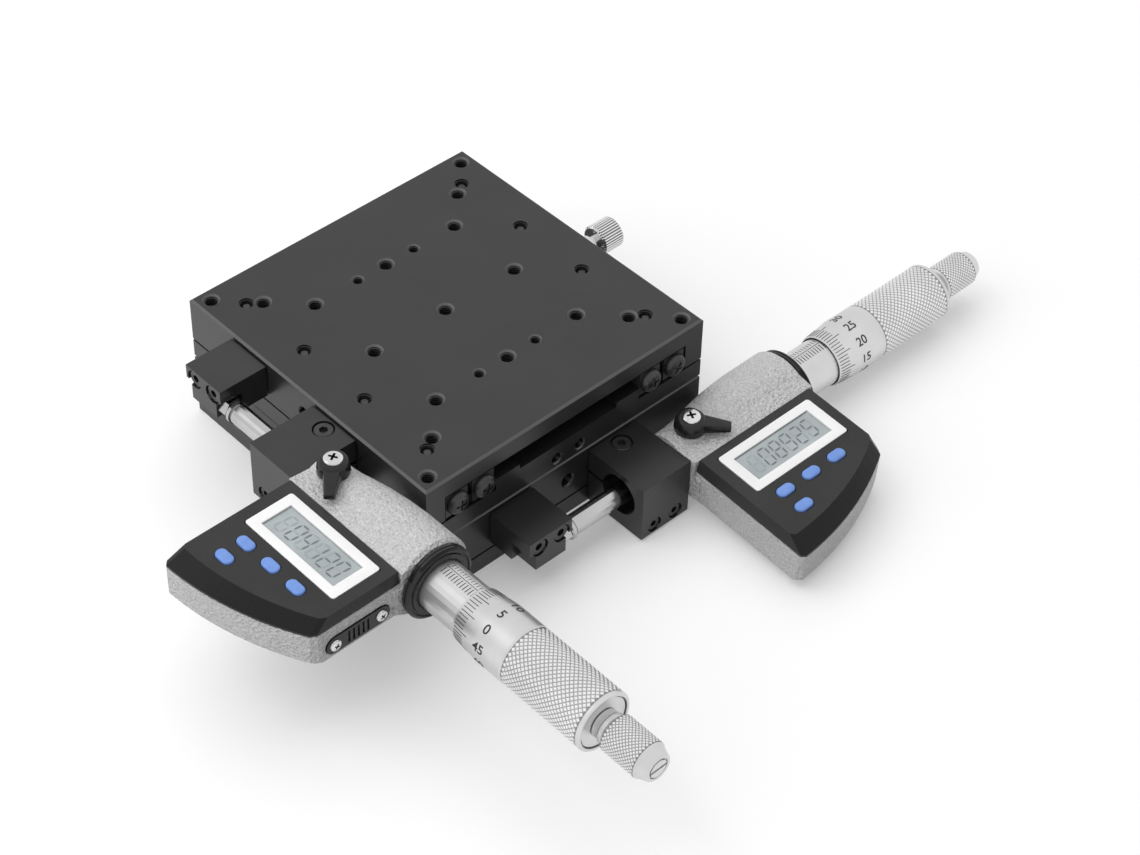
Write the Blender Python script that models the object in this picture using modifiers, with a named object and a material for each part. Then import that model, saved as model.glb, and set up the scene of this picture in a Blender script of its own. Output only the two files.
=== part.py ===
"""Two-axis crossed-roller linear translation stage with a digital micrometer head on each axis.

Metres, +Z up. The origin is the centre of the base's underside. The lower stage travels along X and
the upper stage along Y. Both are the same design: the upper one is turned a quarter turn and stands
on the lower one. Each stage is modelled in its own frame, where +X is the way the thimble backs off,
the drive hangs on the -Y side and the lock on the +Y side.
"""

import math

import bmesh
import bpy
from mathutils import Matrix, Vector

# Plates of one stage
PLATE_SIZE = 0.125
STAGE_HEIGHT = 0.02585
FLANGE_THICKNESS = 0.007
WEB_THICKNESS = 0.0075
WALL_THICKNESS = 0.008
PEDESTAL_RISE = 0.00475
RELIEF_DEPTH = 0.0019
RELIEF_WIDTH = 0.044
EDGE_CHAMFER = 0.0008
HALF_TRAVEL = 0.0125

# Clearances
SEAT_GAP = 0.0003
RUNNING_GAP = 0.0008

# Crossed-roller guides
RAIL_WIDTH = 0.010
RAIL_SPACE = 0.0014
RAIL_INSET = 0.0013
RAIL_CHAMFER = 0.0004
ROLLER_SIZE = 0.0034
ROLLER_PITCH = 0.008
ROLLER_COUNT = 12
CAGE_THICKNESS = 0.0006
CAGE_HEIGHT = 0.0066
CAGE_MARGIN = 0.0068
END_PLATE_SIZE = 0.0094
END_PLATE_THICKNESS = 0.0009
END_SCREW_RADIUS = 0.0044
END_SCREW_TOP_RADIUS = 0.0033
END_SCREW_HEIGHT = 0.0022

# Return springs and their posts
SPRING_TURNS = 9
SPRING_COIL_RADIUS = 0.0024
SPRING_WIRE = 0.001
POST_RADIUS = 0.0016
LOWER_POST_X = 0.030
UPPER_POST_X = -0.042
HOOK_LEAD = 0.0045

# Holes of the top table, as places from its centre
CORNER_HOLE_INSET = 0.00535
GRID_RAIL_GAP = 0.00105
INNER_CORNER_SHARE = 1.4
SMALL_HOLE_SHARE = 0.4
RAIL_SCREW_PLACES = (PLATE_SIZE * 0.1272, PLATE_SIZE * 0.3816)
THREAD_RADIUS = 0.00255
THREAD_MOUTH_RADIUS = 0.00325
SMALL_THREAD_RADIUS = 0.0019
SMALL_MOUTH_RADIUS = 0.0024
RAIL_SCREW_RADIUS = 0.0027
RAIL_SCREW_DEPTH = 0.0036
SCREW_TIP_RADIUS = 0.0013
SCREW_TIP_LENGTH = 0.0016
SIDE_HOLE_RADIUS = 0.0020
SIDE_MOUTH_RADIUS = 0.0025
SIDE_HOLE_DEPTH = 0.005
SIDE_HOLE_PITCH = 0.0105
WALL_HOLE_RADIUS = 0.0025
WALL_MOUTH_RADIUS = 0.0030
FIXING_HOLE_INSET = 0.00535

# Drive: head axis, holder, stop block and anvil
AXIS_OFFSET = 0.0152
AXIS_HEIGHT = 0.0142
HEAD_SEAT = {"x": 0.0315, "y": 0.0276}
HEAD_STANDOFF = {"x": 0.0003, "y": -0.0008}
HEAD_TILT = {"x": math.radians(3.8), "y": 0.0}
HOLDER_LENGTH = 0.022
HOLDER_DEPTH = 0.0265
HOLDER_FOOT = 0.001
BLOCK_DROP = 0.00185
STEM_RADIUS = 0.0075
STEM_RECESS = 0.012
CLAMP_SLIT = 0.0014
CLAMP_OFFSET = 0.0104
CLAMP_HEAD_RADIUS = 0.0036
CLAMP_HEAD_HEIGHT = 0.004
CLAMP_SHANK_RADIUS = 0.0017
CLAMP_SHANK_END = 0.006
CAP_RADIUS = 0.0032
CAP_SINK = 0.0007
CAP_GROOVE = 0.0004
CAP_GROOVE_DEPTH = 0.0022
CAP_PITCH = 0.0098
HEX_RADIUS = 0.00165
HEX_DEPTH = 0.0016
HOLDER_CAP_RADIUS = 0.0027
HOLDER_CAP_HEIGHT = 0.0045
STOP_DISTANCE = {"x": 0.0480, "y": 0.0472}
STOP_WIDTH = 0.0188
STOP_DEPTH = 0.0195
STOP_HEIGHT = 0.0132
STOP_NOTCH = 0.0027
STOP_CAP_DROP = 0.0039
ANVIL_RADIUS = 0.0040
ANVIL_LENGTH = 0.0035

# Lock of each stage
LOCK_X = {"x": -0.003, "y": -0.003}
LOCK_PLATE_WIDTH = 0.018
LOCK_PLATE_THICKNESS = 0.0055
LOCK_PLATE_TOP = 0.0173
LOCK_HEIGHT = 0.01285
LOCK_THREAD_RADIUS = 0.0022
LOCK_COLLAR_RADIUS = 0.0036
LOCK_COLLAR_LENGTH = 0.0026
LOCK_NECK_RADIUS = 0.0028
LOCK_NECK_LENGTH = 0.0024
LOCK_KNOB_RADIUS = 0.006
LOCK_KNOB_LENGTH = 0.0095

# Micrometer head, measured outward from the holder's outer face
CASTING_LENGTH = 0.057
BARREL_RADIUS = 0.0147
BARREL_FLOOR = -0.0128
BARREL_CROWN = 0.003
BARREL_SWELL = (
    (0, 0), (0.09, 0.03), (0.2, 0.16), (0.3, 0.42), (0.42, 0.68), (0.55, 0.87), (0.7, 0.98), (0.98, 1),
)
NECK_RADIUS = 0.0093
NECK_RISE = 0.0020
BARREL_ROUNDING = 0.0012
SHOULDER_WIDTH = 0.0128
SHOULDER_HEIGHT = 0.0109
BOX_START = 0.0008
BOX_SET_BACK = 0.001
BOX_FLOOR = -0.0070
BOX_SEAT = 0.0062
BOX_REACH_NEAR = 0.0630
BOX_REACH_FAR = 0.0472
BOX_BULGE = 0.0036
BOX_ROUNDING = 0.0016
SPINDLE_RADIUS = 0.0037
SPINDLE_TIP_RADIUS = 0.0042
SPINDLE_TIP_LENGTH = 0.0017
SPINDLE_SEAT = 0.0079
SLEEVE_RADIUS = 0.0090
SLEEVE_SEAT = 0.005
SLEEVE_LENGTH = 0.052
RING_RADIUS = 0.0135
RING_LENGTH = 0.003
THIMBLE_START = 0.0768
THIMBLE_LENGTH = 0.0579
THIMBLE_EDGE_RADIUS = 0.00975
THIMBLE_RADIUS = 0.01085
THIMBLE_CONE = 0.0105
THIMBLE_HUB = 0.0127
THIMBLE_CHAMFER = 0.0008
THIMBLE_RIM = 0.0014
THIMBLE_RECESS = 0.0012
RATCHET_GAP = 0.0049
RATCHET_RADIUS = 0.0068
RATCHET_LENGTH = 0.0139
RATCHET_CAP_LENGTH = 0.0042
RATCHET_CAP_RADIUS = 0.0049
RATCHET_NECK_RADIUS = 0.0042
RATCHET_SPIGOT_RADIUS = 0.0025
RATCHET_SPIGOT_LENGTH = 0.0034
RATCHET_SLOT = 0.0011

# Display cover, screen and buttons
COVER_HEIGHT = 0.0046
COVER_LIP = 0.0006
COVER_SLOPE_NEAR = 0.0066
COVER_SLOPE_FAR = 0.0046
COVER_SLOPE_SIDE = 0.0012
SCREEN_FRAME_START = 0.0071
SCREEN_FRAME_LENGTH = 0.0438
SCREEN_FRAME_OUT = 0.0165
SCREEN_FRAME_WIDTH = 0.0188
SCREEN_FRAME_HEIGHT = 0.0014
SCREEN_FRAME_ROUNDING = 0.0016
SCREEN_PROUD = 0.0002
SCREEN_BORDER = 0.0040
SCREEN_WINDOW_HEIGHT = 0.0008
BUTTON_LENGTH = 0.0073
BUTTON_WIDTH = 0.0043
BUTTON_HEIGHT = 0.0046
BUTTON_PROUD = 0.0008
BUTTON_TRAVEL = 0.0005
BUTTON_FIRST = (0.01475, 0.0408)
BUTTON_PITCH = 0.01238
BUTTON_ROW_PITCH = 0.0084

# Battery hatch on the thimble side of the casting
HATCH_LENGTH = 0.0254
HATCH_HEIGHT = 0.0068
HATCH_CENTRE = (0.0302, -0.0019)
HATCH_DEPTH = 0.0013
HATCH_PROUD = 0.0005
HATCH_RIBS = 5
HATCH_RIB_PITCH = 0.0019
HATCH_SCREW_RADIUS = 0.0021
HATCH_SCREW_PITCH = 0.0184

# Lock lever on top of the casting
LEVER_PLACE = (0.009, 0.0008)
LEVER_BOSS_HEIGHT = 0.0122
LEVER_RADIUS = 0.0056
LEVER_TOP_RADIUS = 0.0046
LEVER_HEIGHT = 0.0052
LEVER_REACH = 0.0140
LEVER_TURN = math.radians(-45)
LEVER_SCREW_RADIUS = 0.0038
LEVER_SCREW_HEIGHT = 0.0011

# Facets round a full circle
FINE = 32
ROUND = 20
COARSE = 12
EDGE_STEPS = 14
BARREL_STEP = 9
ROLLER_SIDES = 10

# Places that follow from the sizes above
HALF_PLATE = PLATE_SIZE / 2
WEB_BOTTOM = STAGE_HEIGHT - WEB_THICKNESS
WALL_BOTTOM = FLANGE_THICKNESS + RUNNING_GAP
WALL_INNER = HALF_PLATE - WALL_THICKNESS
OUTER_RAIL = (WALL_INNER - SEAT_GAP - RAIL_WIDTH, WALL_INNER - SEAT_GAP)
ROLLER_LINE = OUTER_RAIL[0] - RAIL_SPACE / 2
INNER_RAIL = (ROLLER_LINE - RAIL_SPACE / 2 - RAIL_WIDTH, ROLLER_LINE - RAIL_SPACE / 2)
RAIL_BOTTOM = FLANGE_THICKNESS + SEAT_GAP
RAIL_TOP = WEB_BOTTOM - SEAT_GAP
RAIL_MIDDLE = (RAIL_BOTTOM + RAIL_TOP) / 2
RAIL_END = HALF_PLATE - RAIL_INSET
PEDESTAL_HALF = INNER_RAIL[0] - SEAT_GAP
PEDESTAL_TOP = FLANGE_THICKNESS + PEDESTAL_RISE
RELIEF_FLOOR = PEDESTAL_TOP - RELIEF_DEPTH
SPRING_HEIGHT = (RELIEF_FLOOR + WEB_BOTTOM) / 2
DRIVE_FACE = -(HALF_PLATE + SEAT_GAP)
AXIS_Y = -(HALF_PLATE + AXIS_OFFSET)
BLOCK_TOP = STAGE_HEIGHT - BLOCK_DROP
STAGE_PITCH = STAGE_HEIGHT + SEAT_GAP
STEM_BORE = STEM_RADIUS + SEAT_GAP
SPINDLE_BORE = SPINDLE_RADIUS + SEAT_GAP
BOX_LENGTH = CASTING_LENGTH - BOX_SET_BACK
SLEEVE_START = CASTING_LENGTH - SLEEVE_SEAT
SLEEVE_END = SLEEVE_START + SLEEVE_LENGTH
RING_START = CASTING_LENGTH + SEAT_GAP
THIMBLE_END = THIMBLE_START + THIMBLE_LENGTH
THIMBLE_BORE = SLEEVE_RADIUS + SEAT_GAP
SPINDLE_END = THIMBLE_END - THIMBLE_HUB + SPINDLE_SEAT
STOP_NOTCH_TOP = AXIS_HEIGHT + ANVIL_RADIUS + SEAT_GAP
STOP_NOTCH_BACK = AXIS_Y + ANVIL_RADIUS + SEAT_GAP
ANVIL_START = SEAT_GAP - STOP_NOTCH
SPINDLE_TIP = ANVIL_START + ANVIL_LENGTH + SEAT_GAP
COVER_BOTTOM = BOX_SEAT + SEAT_GAP
COVER_TOP = COVER_BOTTOM + COVER_HEIGHT
COVER_INNER = SHOULDER_WIDTH + SEAT_GAP

FINISHES = {
    "black_anodised": ((0.035, 0.035, 0.037), 0.55, 0.42),
    "rail_steel": ((0.10, 0.10, 0.105), 0.90, 0.35),
    "bright_steel": ((0.78, 0.78, 0.80), 1.00, 0.22),
    "satin_chrome": ((0.74, 0.75, 0.77), 0.95, 0.30),
    "black_screw": ((0.03, 0.03, 0.03), 0.80, 0.35),
    "hammered_grey": ((0.52, 0.53, 0.54), 0.35, 0.45),
    "black_plastic": ((0.045, 0.045, 0.048), 0.00, 0.32),
    "white_plastic": ((0.88, 0.88, 0.88), 0.00, 0.40),
    "screen_grey": ((0.45, 0.50, 0.49), 0.00, 0.12),
    "blue_plastic": ((0.16, 0.32, 0.78), 0.00, 0.35),
    "spring_wire": ((0.55, 0.55, 0.57), 1.00, 0.28),
}

for leftover in list(bpy.data.objects):
    bpy.data.objects.remove(leftover, do_unlink=True)


def new_collection(name):
    collection = bpy.data.collections.new(name)
    bpy.context.scene.collection.children.link(collection)
    return collection


PARTS = new_collection("translation_stage")
CUTTERS = new_collection("cutters")


def new_frame(name, location=(0, 0, 0), turn=0.0, parent=None):
    """An empty that carries the pieces of one stage, one head or one joint."""
    frame = bpy.data.objects.new(name, None)
    frame.empty_display_size = 0.01
    frame.location = location
    frame.rotation_euler = (0, 0, turn)
    frame.parent = parent
    PARTS.objects.link(frame)
    return frame


def paint(obj, finish):
    colour, metallic, roughness = FINISHES[finish]
    material = bpy.data.materials.new(f"{obj.name}_{finish}")
    material.use_nodes = True
    shader = material.node_tree.nodes["Principled BSDF"]
    shader.inputs["Base Color"].default_value = (*colour, 1.0)
    shader.inputs["Metallic"].default_value = metallic
    shader.inputs["Roughness"].default_value = roughness
    material.diffuse_color = (*colour, 1.0)
    obj.data.materials.append(material)


def mesh_object(name, bm, parent=None, finish=None, location=(0, 0, 0), rotation=(0, 0, 0)):
    """An object from a bmesh. Without a finish it is a helper: a cutter, or a shape to be joined."""
    bmesh.ops.recalc_face_normals(bm, faces=bm.faces)
    mesh = bpy.data.meshes.new(name)
    bm.to_mesh(mesh)
    bm.free()
    obj = bpy.data.objects.new(name, mesh)
    obj.location = location
    obj.rotation_euler = rotation
    obj.parent = parent
    if finish:
        PARTS.objects.link(obj)
        paint(obj, finish)
    else:
        CUTTERS.objects.link(obj)
        obj.hide_render = True
        obj.display_type = "WIRE"
    return obj


def combine(target, operation, *helpers):
    """Boolean modifiers on the target, one for each helper."""
    for helper in helpers:
        modifier = target.modifiers.new(f"{operation.lower()}_{helper.name}", "BOOLEAN")
        modifier.operation = operation
        modifier.object = helper
    return target


def add_block(bm, low, high):
    low, high = Vector(low), Vector(high)
    place = Matrix.Translation((low + high) / 2) @ Matrix.Diagonal((*(high - low), 1))
    return bmesh.ops.create_cube(bm, size=1, matrix=place)["verts"]


def block(name, low, high, parent=None, finish=None):
    bm = bmesh.new()
    add_block(bm, low, high)
    return mesh_object(name, bm, parent, finish)


def facing(direction):
    """A turn that takes +Z to the given direction."""
    return Vector((0, 0, 1)).rotation_difference(Vector(direction)).to_matrix().to_4x4()


def add_turned(bm, profile, place, direction=(0, 0, 1), segments=COARSE):
    """A profile of (radius, height) points spun round an axis through the place."""
    turn = Matrix.Translation(place) @ facing(direction)
    verts = [bm.verts.new((radius, 0, height)) for radius, height in profile]
    edges = [bm.edges.new(pair) for pair in zip(verts, verts[1:])]
    if profile[0][0] > 0:
        edges.append(bm.edges.new((verts[-1], verts[0])))
    made = bmesh.ops.spin(
        bm, geom=verts + edges, cent=(0, 0, 0), axis=(0, 0, 1),
        angle=math.tau, steps=segments, use_duplicate=False,
    )
    new_verts = set(verts) | {e for e in made["geom_last"] if isinstance(e, bmesh.types.BMVert)}
    for edge in edges:
        for face in edge.link_faces:
            new_verts.update(face.verts)
    linked = list(new_verts)
    seen = set(linked)
    while linked:
        for edge in linked.pop().link_edges:
            for vert in edge.verts:
                if vert not in seen:
                    seen.add(vert)
                    linked.append(vert)
    bmesh.ops.remove_doubles(bm, verts=list(seen), dist=1e-6)
    seen = [vert for vert in seen if vert.is_valid]
    bmesh.ops.transform(bm, matrix=turn, verts=seen)


def add_rod(bm, start, end, radius, segments=COARSE):
    start, end = Vector(start), Vector(end)
    place = Matrix.Translation((start + end) / 2) @ facing(end - start)
    bmesh.ops.create_cone(
        bm, cap_ends=True, segments=segments, radius1=radius, radius2=radius,
        depth=(end - start).length, matrix=place,
    )


def rod(name, start, end, radius, parent=None, finish=None, segments=COARSE):
    bm = bmesh.new()
    add_rod(bm, start, end, radius, segments)
    return mesh_object(name, bm, parent, finish)


def turned(name, profile, parent, finish, location=(0, 0, 0), direction=(0, 0, 1), segments=FINE):
    """A turned piece: the profile runs down its outer side and a Screw modifier carries it round."""
    mesh = bpy.data.meshes.new(name)
    edges = [(i, i + 1) for i in range(len(profile) - 1)]
    if profile[0][0] > 0:
        edges.append((len(profile) - 1, 0))
    mesh.from_pydata([(radius, 0, height) for radius, height in profile], edges, [])
    obj = bpy.data.objects.new(name, mesh)
    obj.location = location
    obj.rotation_euler = facing(direction).to_euler()
    obj.parent = parent
    PARTS.objects.link(obj)
    paint(obj, finish)
    screw = obj.modifiers.new("turn", "SCREW")
    screw.steps = screw.render_steps = segments
    screw.use_merge_vertices = True
    screw.merge_threshold = 0.000001
    return obj


def outline_mesh(points, thickness):
    """A flat outline in XY, given its thickness along Z about its own plane."""
    curve = bpy.data.curves.new("outline", "CURVE")
    curve.dimensions = "2D"
    curve.fill_mode = "BOTH"
    curve.extrude = thickness / 2
    spline = curve.splines.new("POLY")
    spline.points.add(len(points) - 1)
    for spot, (x, y) in zip(spline.points, points):
        spot.co = (x, y, 0, 1)
    spline.use_cyclic_u = True
    guide = bpy.data.objects.new("outline", curve)
    bpy.context.scene.collection.objects.link(guide)
    graph = bpy.context.evaluated_depsgraph_get()
    mesh = bpy.data.meshes.new_from_object(guide.evaluated_get(graph))
    bpy.data.objects.remove(guide)
    bm = bmesh.new()
    bm.from_mesh(mesh)
    bmesh.ops.remove_doubles(bm, verts=bm.verts, dist=1e-6)
    bpy.data.meshes.remove(mesh)
    return bm


def loft(rings):
    """A closed skin over rings of points that have the same count."""
    bm = bmesh.new()
    loops = [[bm.verts.new(point) for point in ring] for ring in rings]
    count = len(rings[0])
    for lower, upper in zip(loops, loops[1:]):
        for i in range(count):
            j = (i + 1) % count
            bm.faces.new((lower[i], lower[j], upper[j], upper[i]))
    bm.faces.new(reversed(loops[0]))
    bm.faces.new(loops[-1])
    bmesh.ops.triangulate(bm, faces=bm.faces)
    return bm


def arc(centre, radius, start, end, steps):
    """Points on a circle from one angle to another, in degrees."""
    angles = [math.radians(start + (end - start) * i / steps) for i in range(steps + 1)]
    return [(centre[0] + radius * math.cos(a), centre[1] + radius * math.sin(a)) for a in angles]


def stadium(length, width, steps=6):
    """A slot's outline along X, with round ends."""
    reach = (length - width) / 2
    right = arc((reach, 0), width / 2, -90, 90, steps)
    left = arc((-reach, 0), width / 2, 90, 270, steps)
    return right + left


def rounded_box(length, width, radius, steps=3):
    x, y = length / 2 - radius, width / 2 - radius
    corners = (((x, -y), -90), ((x, y), 0), ((-x, y), 90), ((-x, -y), 180))
    return [p for centre, start in corners for p in arc(centre, radius, start, start + 90, steps)]


def chamfer_edges(bm, width, choose):
    """Chamfers the edges that the test chooses."""
    edges = [edge for edge in bm.edges if choose(edge)]
    bmesh.ops.bevel(bm, geom=edges, offset=width, segments=1, affect="EDGES")


def mirrored(places):
    """Each (x, y) place in all four quadrants, without repeats."""
    return sorted({(sx * x, sy * y) for x, y in places for sx in (1, -1) for sy in (1, -1)})


def add_threaded_hole(bm, x, y, top, radius, mouth, depth):
    spare = mouth - radius
    profile = [(0, spare), (mouth + spare, spare), (radius, -spare), (radius, -depth), (0, -depth)]
    add_turned(bm, profile, (x, y, top))


def add_side_hole(bm, place, direction, radius, mouth):
    """A tapped hole with a chamfered mouth in a side face, whose outward direction is given."""
    profile = [
        (0, SIDE_HOLE_DEPTH), (mouth, SIDE_HOLE_DEPTH), (mouth, 0), (radius, radius - mouth),
        (radius, -SIDE_HOLE_DEPTH), (0, -SIDE_HOLE_DEPTH),
    ]
    add_turned(bm, profile, place, direction)


def cap_screw_cutters(name, places, direction, radius, parent):
    """Cutters for sunk socket screws: a ring groove round each head, and the hex socket in it."""
    groove, socket = bmesh.new(), bmesh.new()
    outer = radius + CAP_GROOVE
    above = CAP_SINK
    ring = [
        (0, above), (outer, above), (outer, -CAP_GROOVE_DEPTH),
        (radius, -CAP_GROOVE_DEPTH), (radius, -CAP_SINK), (0, -CAP_SINK),
    ]
    for place in places:
        add_turned(groove, ring, place, direction)
        inward = -Vector(direction)
        start = Vector(place) + inward * CAP_SINK * 0.5
        end = Vector(place) + inward * (CAP_SINK + HEX_DEPTH)
        add_rod(socket, start, end, HEX_RADIUS * radius / CAP_RADIUS, 6)
    return (
        mesh_object(f"{name}_grooves", groove, parent),
        mesh_object(f"{name}_sockets", socket, parent),
    )


def rail_screw_spots(y_low, y_high):
    middle = (y_low + y_high) / 2
    return mirrored([(x, middle) for x in RAIL_SCREW_PLACES])


def lower_plate(name, parent):
    """The plate that carries the inner rails: a flange with a raised middle and a shallow relief."""
    plate = block(name, (-HALF_PLATE, -HALF_PLATE, 0), (HALF_PLATE, HALF_PLATE, FLANGE_THICKNESS),
                  parent, "black_anodised")
    pedestal = block(f"{name}_pedestal", (-HALF_PLATE, -PEDESTAL_HALF, FLANGE_THICKNESS / 2),
                     (HALF_PLATE, PEDESTAL_HALF, PEDESTAL_TOP), parent)
    relief = block(f"{name}_relief", (-PLATE_SIZE, -RELIEF_WIDTH / 2, RELIEF_FLOOR),
                   (PLATE_SIZE, RELIEF_WIDTH / 2, PEDESTAL_TOP * 2), parent)
    post = rod(f"{name}_post", (LOWER_POST_X, 0, FLANGE_THICKNESS),
               (LOWER_POST_X, 0, WEB_BOTTOM - RUNNING_GAP), POST_RADIUS, parent)
    holes = bmesh.new()
    for x, y in rail_screw_spots(*INNER_RAIL):
        add_rod(holes, (x, y, -WEB_THICKNESS), (x, y, FLANGE_THICKNESS - RAIL_SCREW_DEPTH),
                RAIL_SCREW_RADIUS)
    corner = HALF_PLATE - FIXING_HOLE_INSET
    for x, y in mirrored([(corner, corner)]):
        add_rod(holes, (x, y, -FLANGE_THICKNESS), (x, y, 2 * FLANGE_THICKNESS), THREAD_RADIUS)
    middle = FLANGE_THICKNESS / 2
    for side in (-1, 1):
        add_side_hole(holes, (HALF_PLATE, side * SIDE_HOLE_PITCH / 2, middle), (1, 0, 0),
                      SIDE_HOLE_RADIUS, SIDE_MOUTH_RADIUS)
    cutter = mesh_object(f"{name}_holes", holes, parent)
    combine(plate, "UNION", pedestal)
    combine(plate, "DIFFERENCE", relief, cutter)
    return combine(plate, "UNION", post)


def upper_plate(name, parent, drilling):
    """The inverted channel that rides on the outer rails. Drilling gives its cutters for the top."""
    bm = bmesh.new()
    add_block(bm, (-HALF_PLATE, -HALF_PLATE, WALL_BOTTOM), (HALF_PLATE, HALF_PLATE, STAGE_HEIGHT))
    chamfer_edges(bm, EDGE_CHAMFER, lambda edge: min(v.co.z for v in edge.verts) > WEB_BOTTOM)
    plate = mesh_object(name, bm, parent, "black_anodised")
    channel = block(f"{name}_channel", (-PLATE_SIZE, -WALL_INNER, 0),
                    (PLATE_SIZE, WALL_INNER, WEB_BOTTOM), parent)
    combine(plate, "DIFFERENCE", channel)
    post = rod(f"{name}_post", (UPPER_POST_X, 0, RELIEF_FLOOR + RUNNING_GAP),
               (UPPER_POST_X, 0, WEB_BOTTOM + WEB_THICKNESS / 2), POST_RADIUS, parent)
    combine(plate, "UNION", post)
    return combine(plate, "DIFFERENCE", *drilling)


def rail_screw_cutter(name, parent, top):
    """Sunk seats of the rail screws: a blind hole with the screw's end standing in it."""
    bm = bmesh.new()
    profile = [
        (0, RAIL_SCREW_RADIUS), (RAIL_SCREW_RADIUS, RAIL_SCREW_RADIUS),
        (RAIL_SCREW_RADIUS, -RAIL_SCREW_DEPTH), (SCREW_TIP_RADIUS, -RAIL_SCREW_DEPTH),
        (SCREW_TIP_RADIUS, SCREW_TIP_LENGTH - RAIL_SCREW_DEPTH),
        (0, SCREW_TIP_LENGTH - RAIL_SCREW_DEPTH),
    ]
    for x, y in rail_screw_spots(*OUTER_RAIL):
        add_turned(bm, profile, (x, y, top))
    return mesh_object(name, bm, parent)


def table_hole_cutters(parent):
    """The customer's holes in the top table, in the table's own frame."""
    bm = bmesh.new()
    corner = HALF_PLATE - CORNER_HOLE_INSET
    pitch = INNER_RAIL[0] - GRID_RAIL_GAP
    inner = pitch * INNER_CORNER_SHARE
    grid = [(i * pitch, j * pitch) for i in (0, 1) for j in (0, 1)]
    depth = WEB_THICKNESS * 1.2
    for x, y in mirrored([(corner, corner), (inner, inner)] + grid):
        solid_below = max(abs(x), abs(y)) > INNER_RAIL[0]
        reach = WEB_THICKNESS * 0.8 if solid_below else depth
        add_threaded_hole(bm, x, y, STAGE_HEIGHT, THREAD_RADIUS, THREAD_MOUTH_RADIUS, reach)
    for x, y in mirrored([(pitch, pitch * SMALL_HOLE_SHARE)]):
        add_threaded_hole(bm, x, y, STAGE_HEIGHT, SMALL_THREAD_RADIUS, SMALL_MOUTH_RADIUS, depth)
    return mesh_object("table_holes", bm, parent)


def wall_hole(name, parent):
    """A spare tapped hole in the drive-side wall of an upper plate."""
    bm = bmesh.new()
    height = (WALL_BOTTOM + BLOCK_TOP) / 2
    add_side_hole(bm, (0, -HALF_PLATE, height), (0, -1, 0), WALL_HOLE_RADIUS, WALL_MOUTH_RADIUS)
    return mesh_object(name, bm, parent)


def rail(name, side, near, far, parent):
    """A ground rail with a V groove that faces the roller line, and its end plates and screws.

    near is the face at the rollers and far the other one, both as distances from the stage's middle.
    """
    low, high = RAIL_BOTTOM, RAIL_TOP
    way = 1 if far > near else -1
    groove = (ROLLER_SIZE + 2 * SEAT_GAP) / math.sqrt(2)
    mouth = groove - RAIL_SPACE / 2
    cut = RAIL_CHAMFER
    outline = [
        (near + way * cut, low), (far, low), (far, high), (near + way * cut, high), (near, high - cut),
        (near, RAIL_MIDDLE + mouth), (near + way * mouth, RAIL_MIDDLE), (near, RAIL_MIDDLE - mouth),
        (near, low + cut),
    ]
    bm = outline_mesh([(side * y, z) for y, z in outline], 2 * RAIL_END)
    upright = Matrix(((0, 0, 1, 0), (1, 0, 0, 0), (0, 1, 0, 0), (0, 0, 0, 1)))
    bmesh.ops.transform(bm, matrix=upright, verts=bm.verts)
    bar = mesh_object(name, bm, parent, "rail_steel")
    middle = side * (near + far) / 2
    ends, screws = bmesh.new(), bmesh.new()
    half = END_PLATE_SIZE / 2
    outer = RAIL_END + END_PLATE_THICKNESS
    screw = [
        (0, END_SCREW_HEIGHT), (END_SCREW_TOP_RADIUS, END_SCREW_HEIGHT),
        (END_SCREW_RADIUS, END_SCREW_HEIGHT / 3), (END_SCREW_RADIUS, -END_PLATE_THICKNESS / 2),
        (0, -END_PLATE_THICKNESS / 2),
    ]
    for end in (-1, 1):
        inner_x, outer_x = sorted((end * (RAIL_END - RAIL_INSET), end * outer))
        add_block(ends, (inner_x, middle - half, RAIL_MIDDLE - half),
                  (outer_x, middle + half, RAIL_MIDDLE + half))
        add_turned(screws, screw, (end * outer, middle, RAIL_MIDDLE), (end, 0, 0))
    return combine(bar, "UNION", mesh_object(f"{name}_end_plates", ends, parent),
                   mesh_object(f"{name}_end_screws", screws, parent))


def roller_cage(name, side, parent):
    """A thin strip that holds crossed rollers, each turned a right angle from the next."""
    line = side * ROLLER_LINE
    half_run = ROLLER_PITCH * (ROLLER_COUNT - 1) / 2
    reach = half_run + CAGE_MARGIN
    thick, tall = CAGE_THICKNESS / 2, CAGE_HEIGHT / 2
    strip = block(name, (-reach, line - thick, RAIL_MIDDLE - tall),
                  (reach, line + thick, RAIL_MIDDLE + tall), parent, "bright_steel")
    rollers = bmesh.new()
    for i in range(ROLLER_COUNT):
        x = i * ROLLER_PITCH - half_run
        lean = 1 if i % 2 else -1
        arm = Vector((0, lean, 1)).normalized() * ROLLER_SIZE / 2
        centre = Vector((x, line, RAIL_MIDDLE))
        add_rod(rollers, centre - arm, centre + arm, ROLLER_SIZE / 2, ROLLER_SIDES)
    return combine(strip, "UNION", mesh_object(f"{name}_rollers", rollers, parent))


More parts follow.
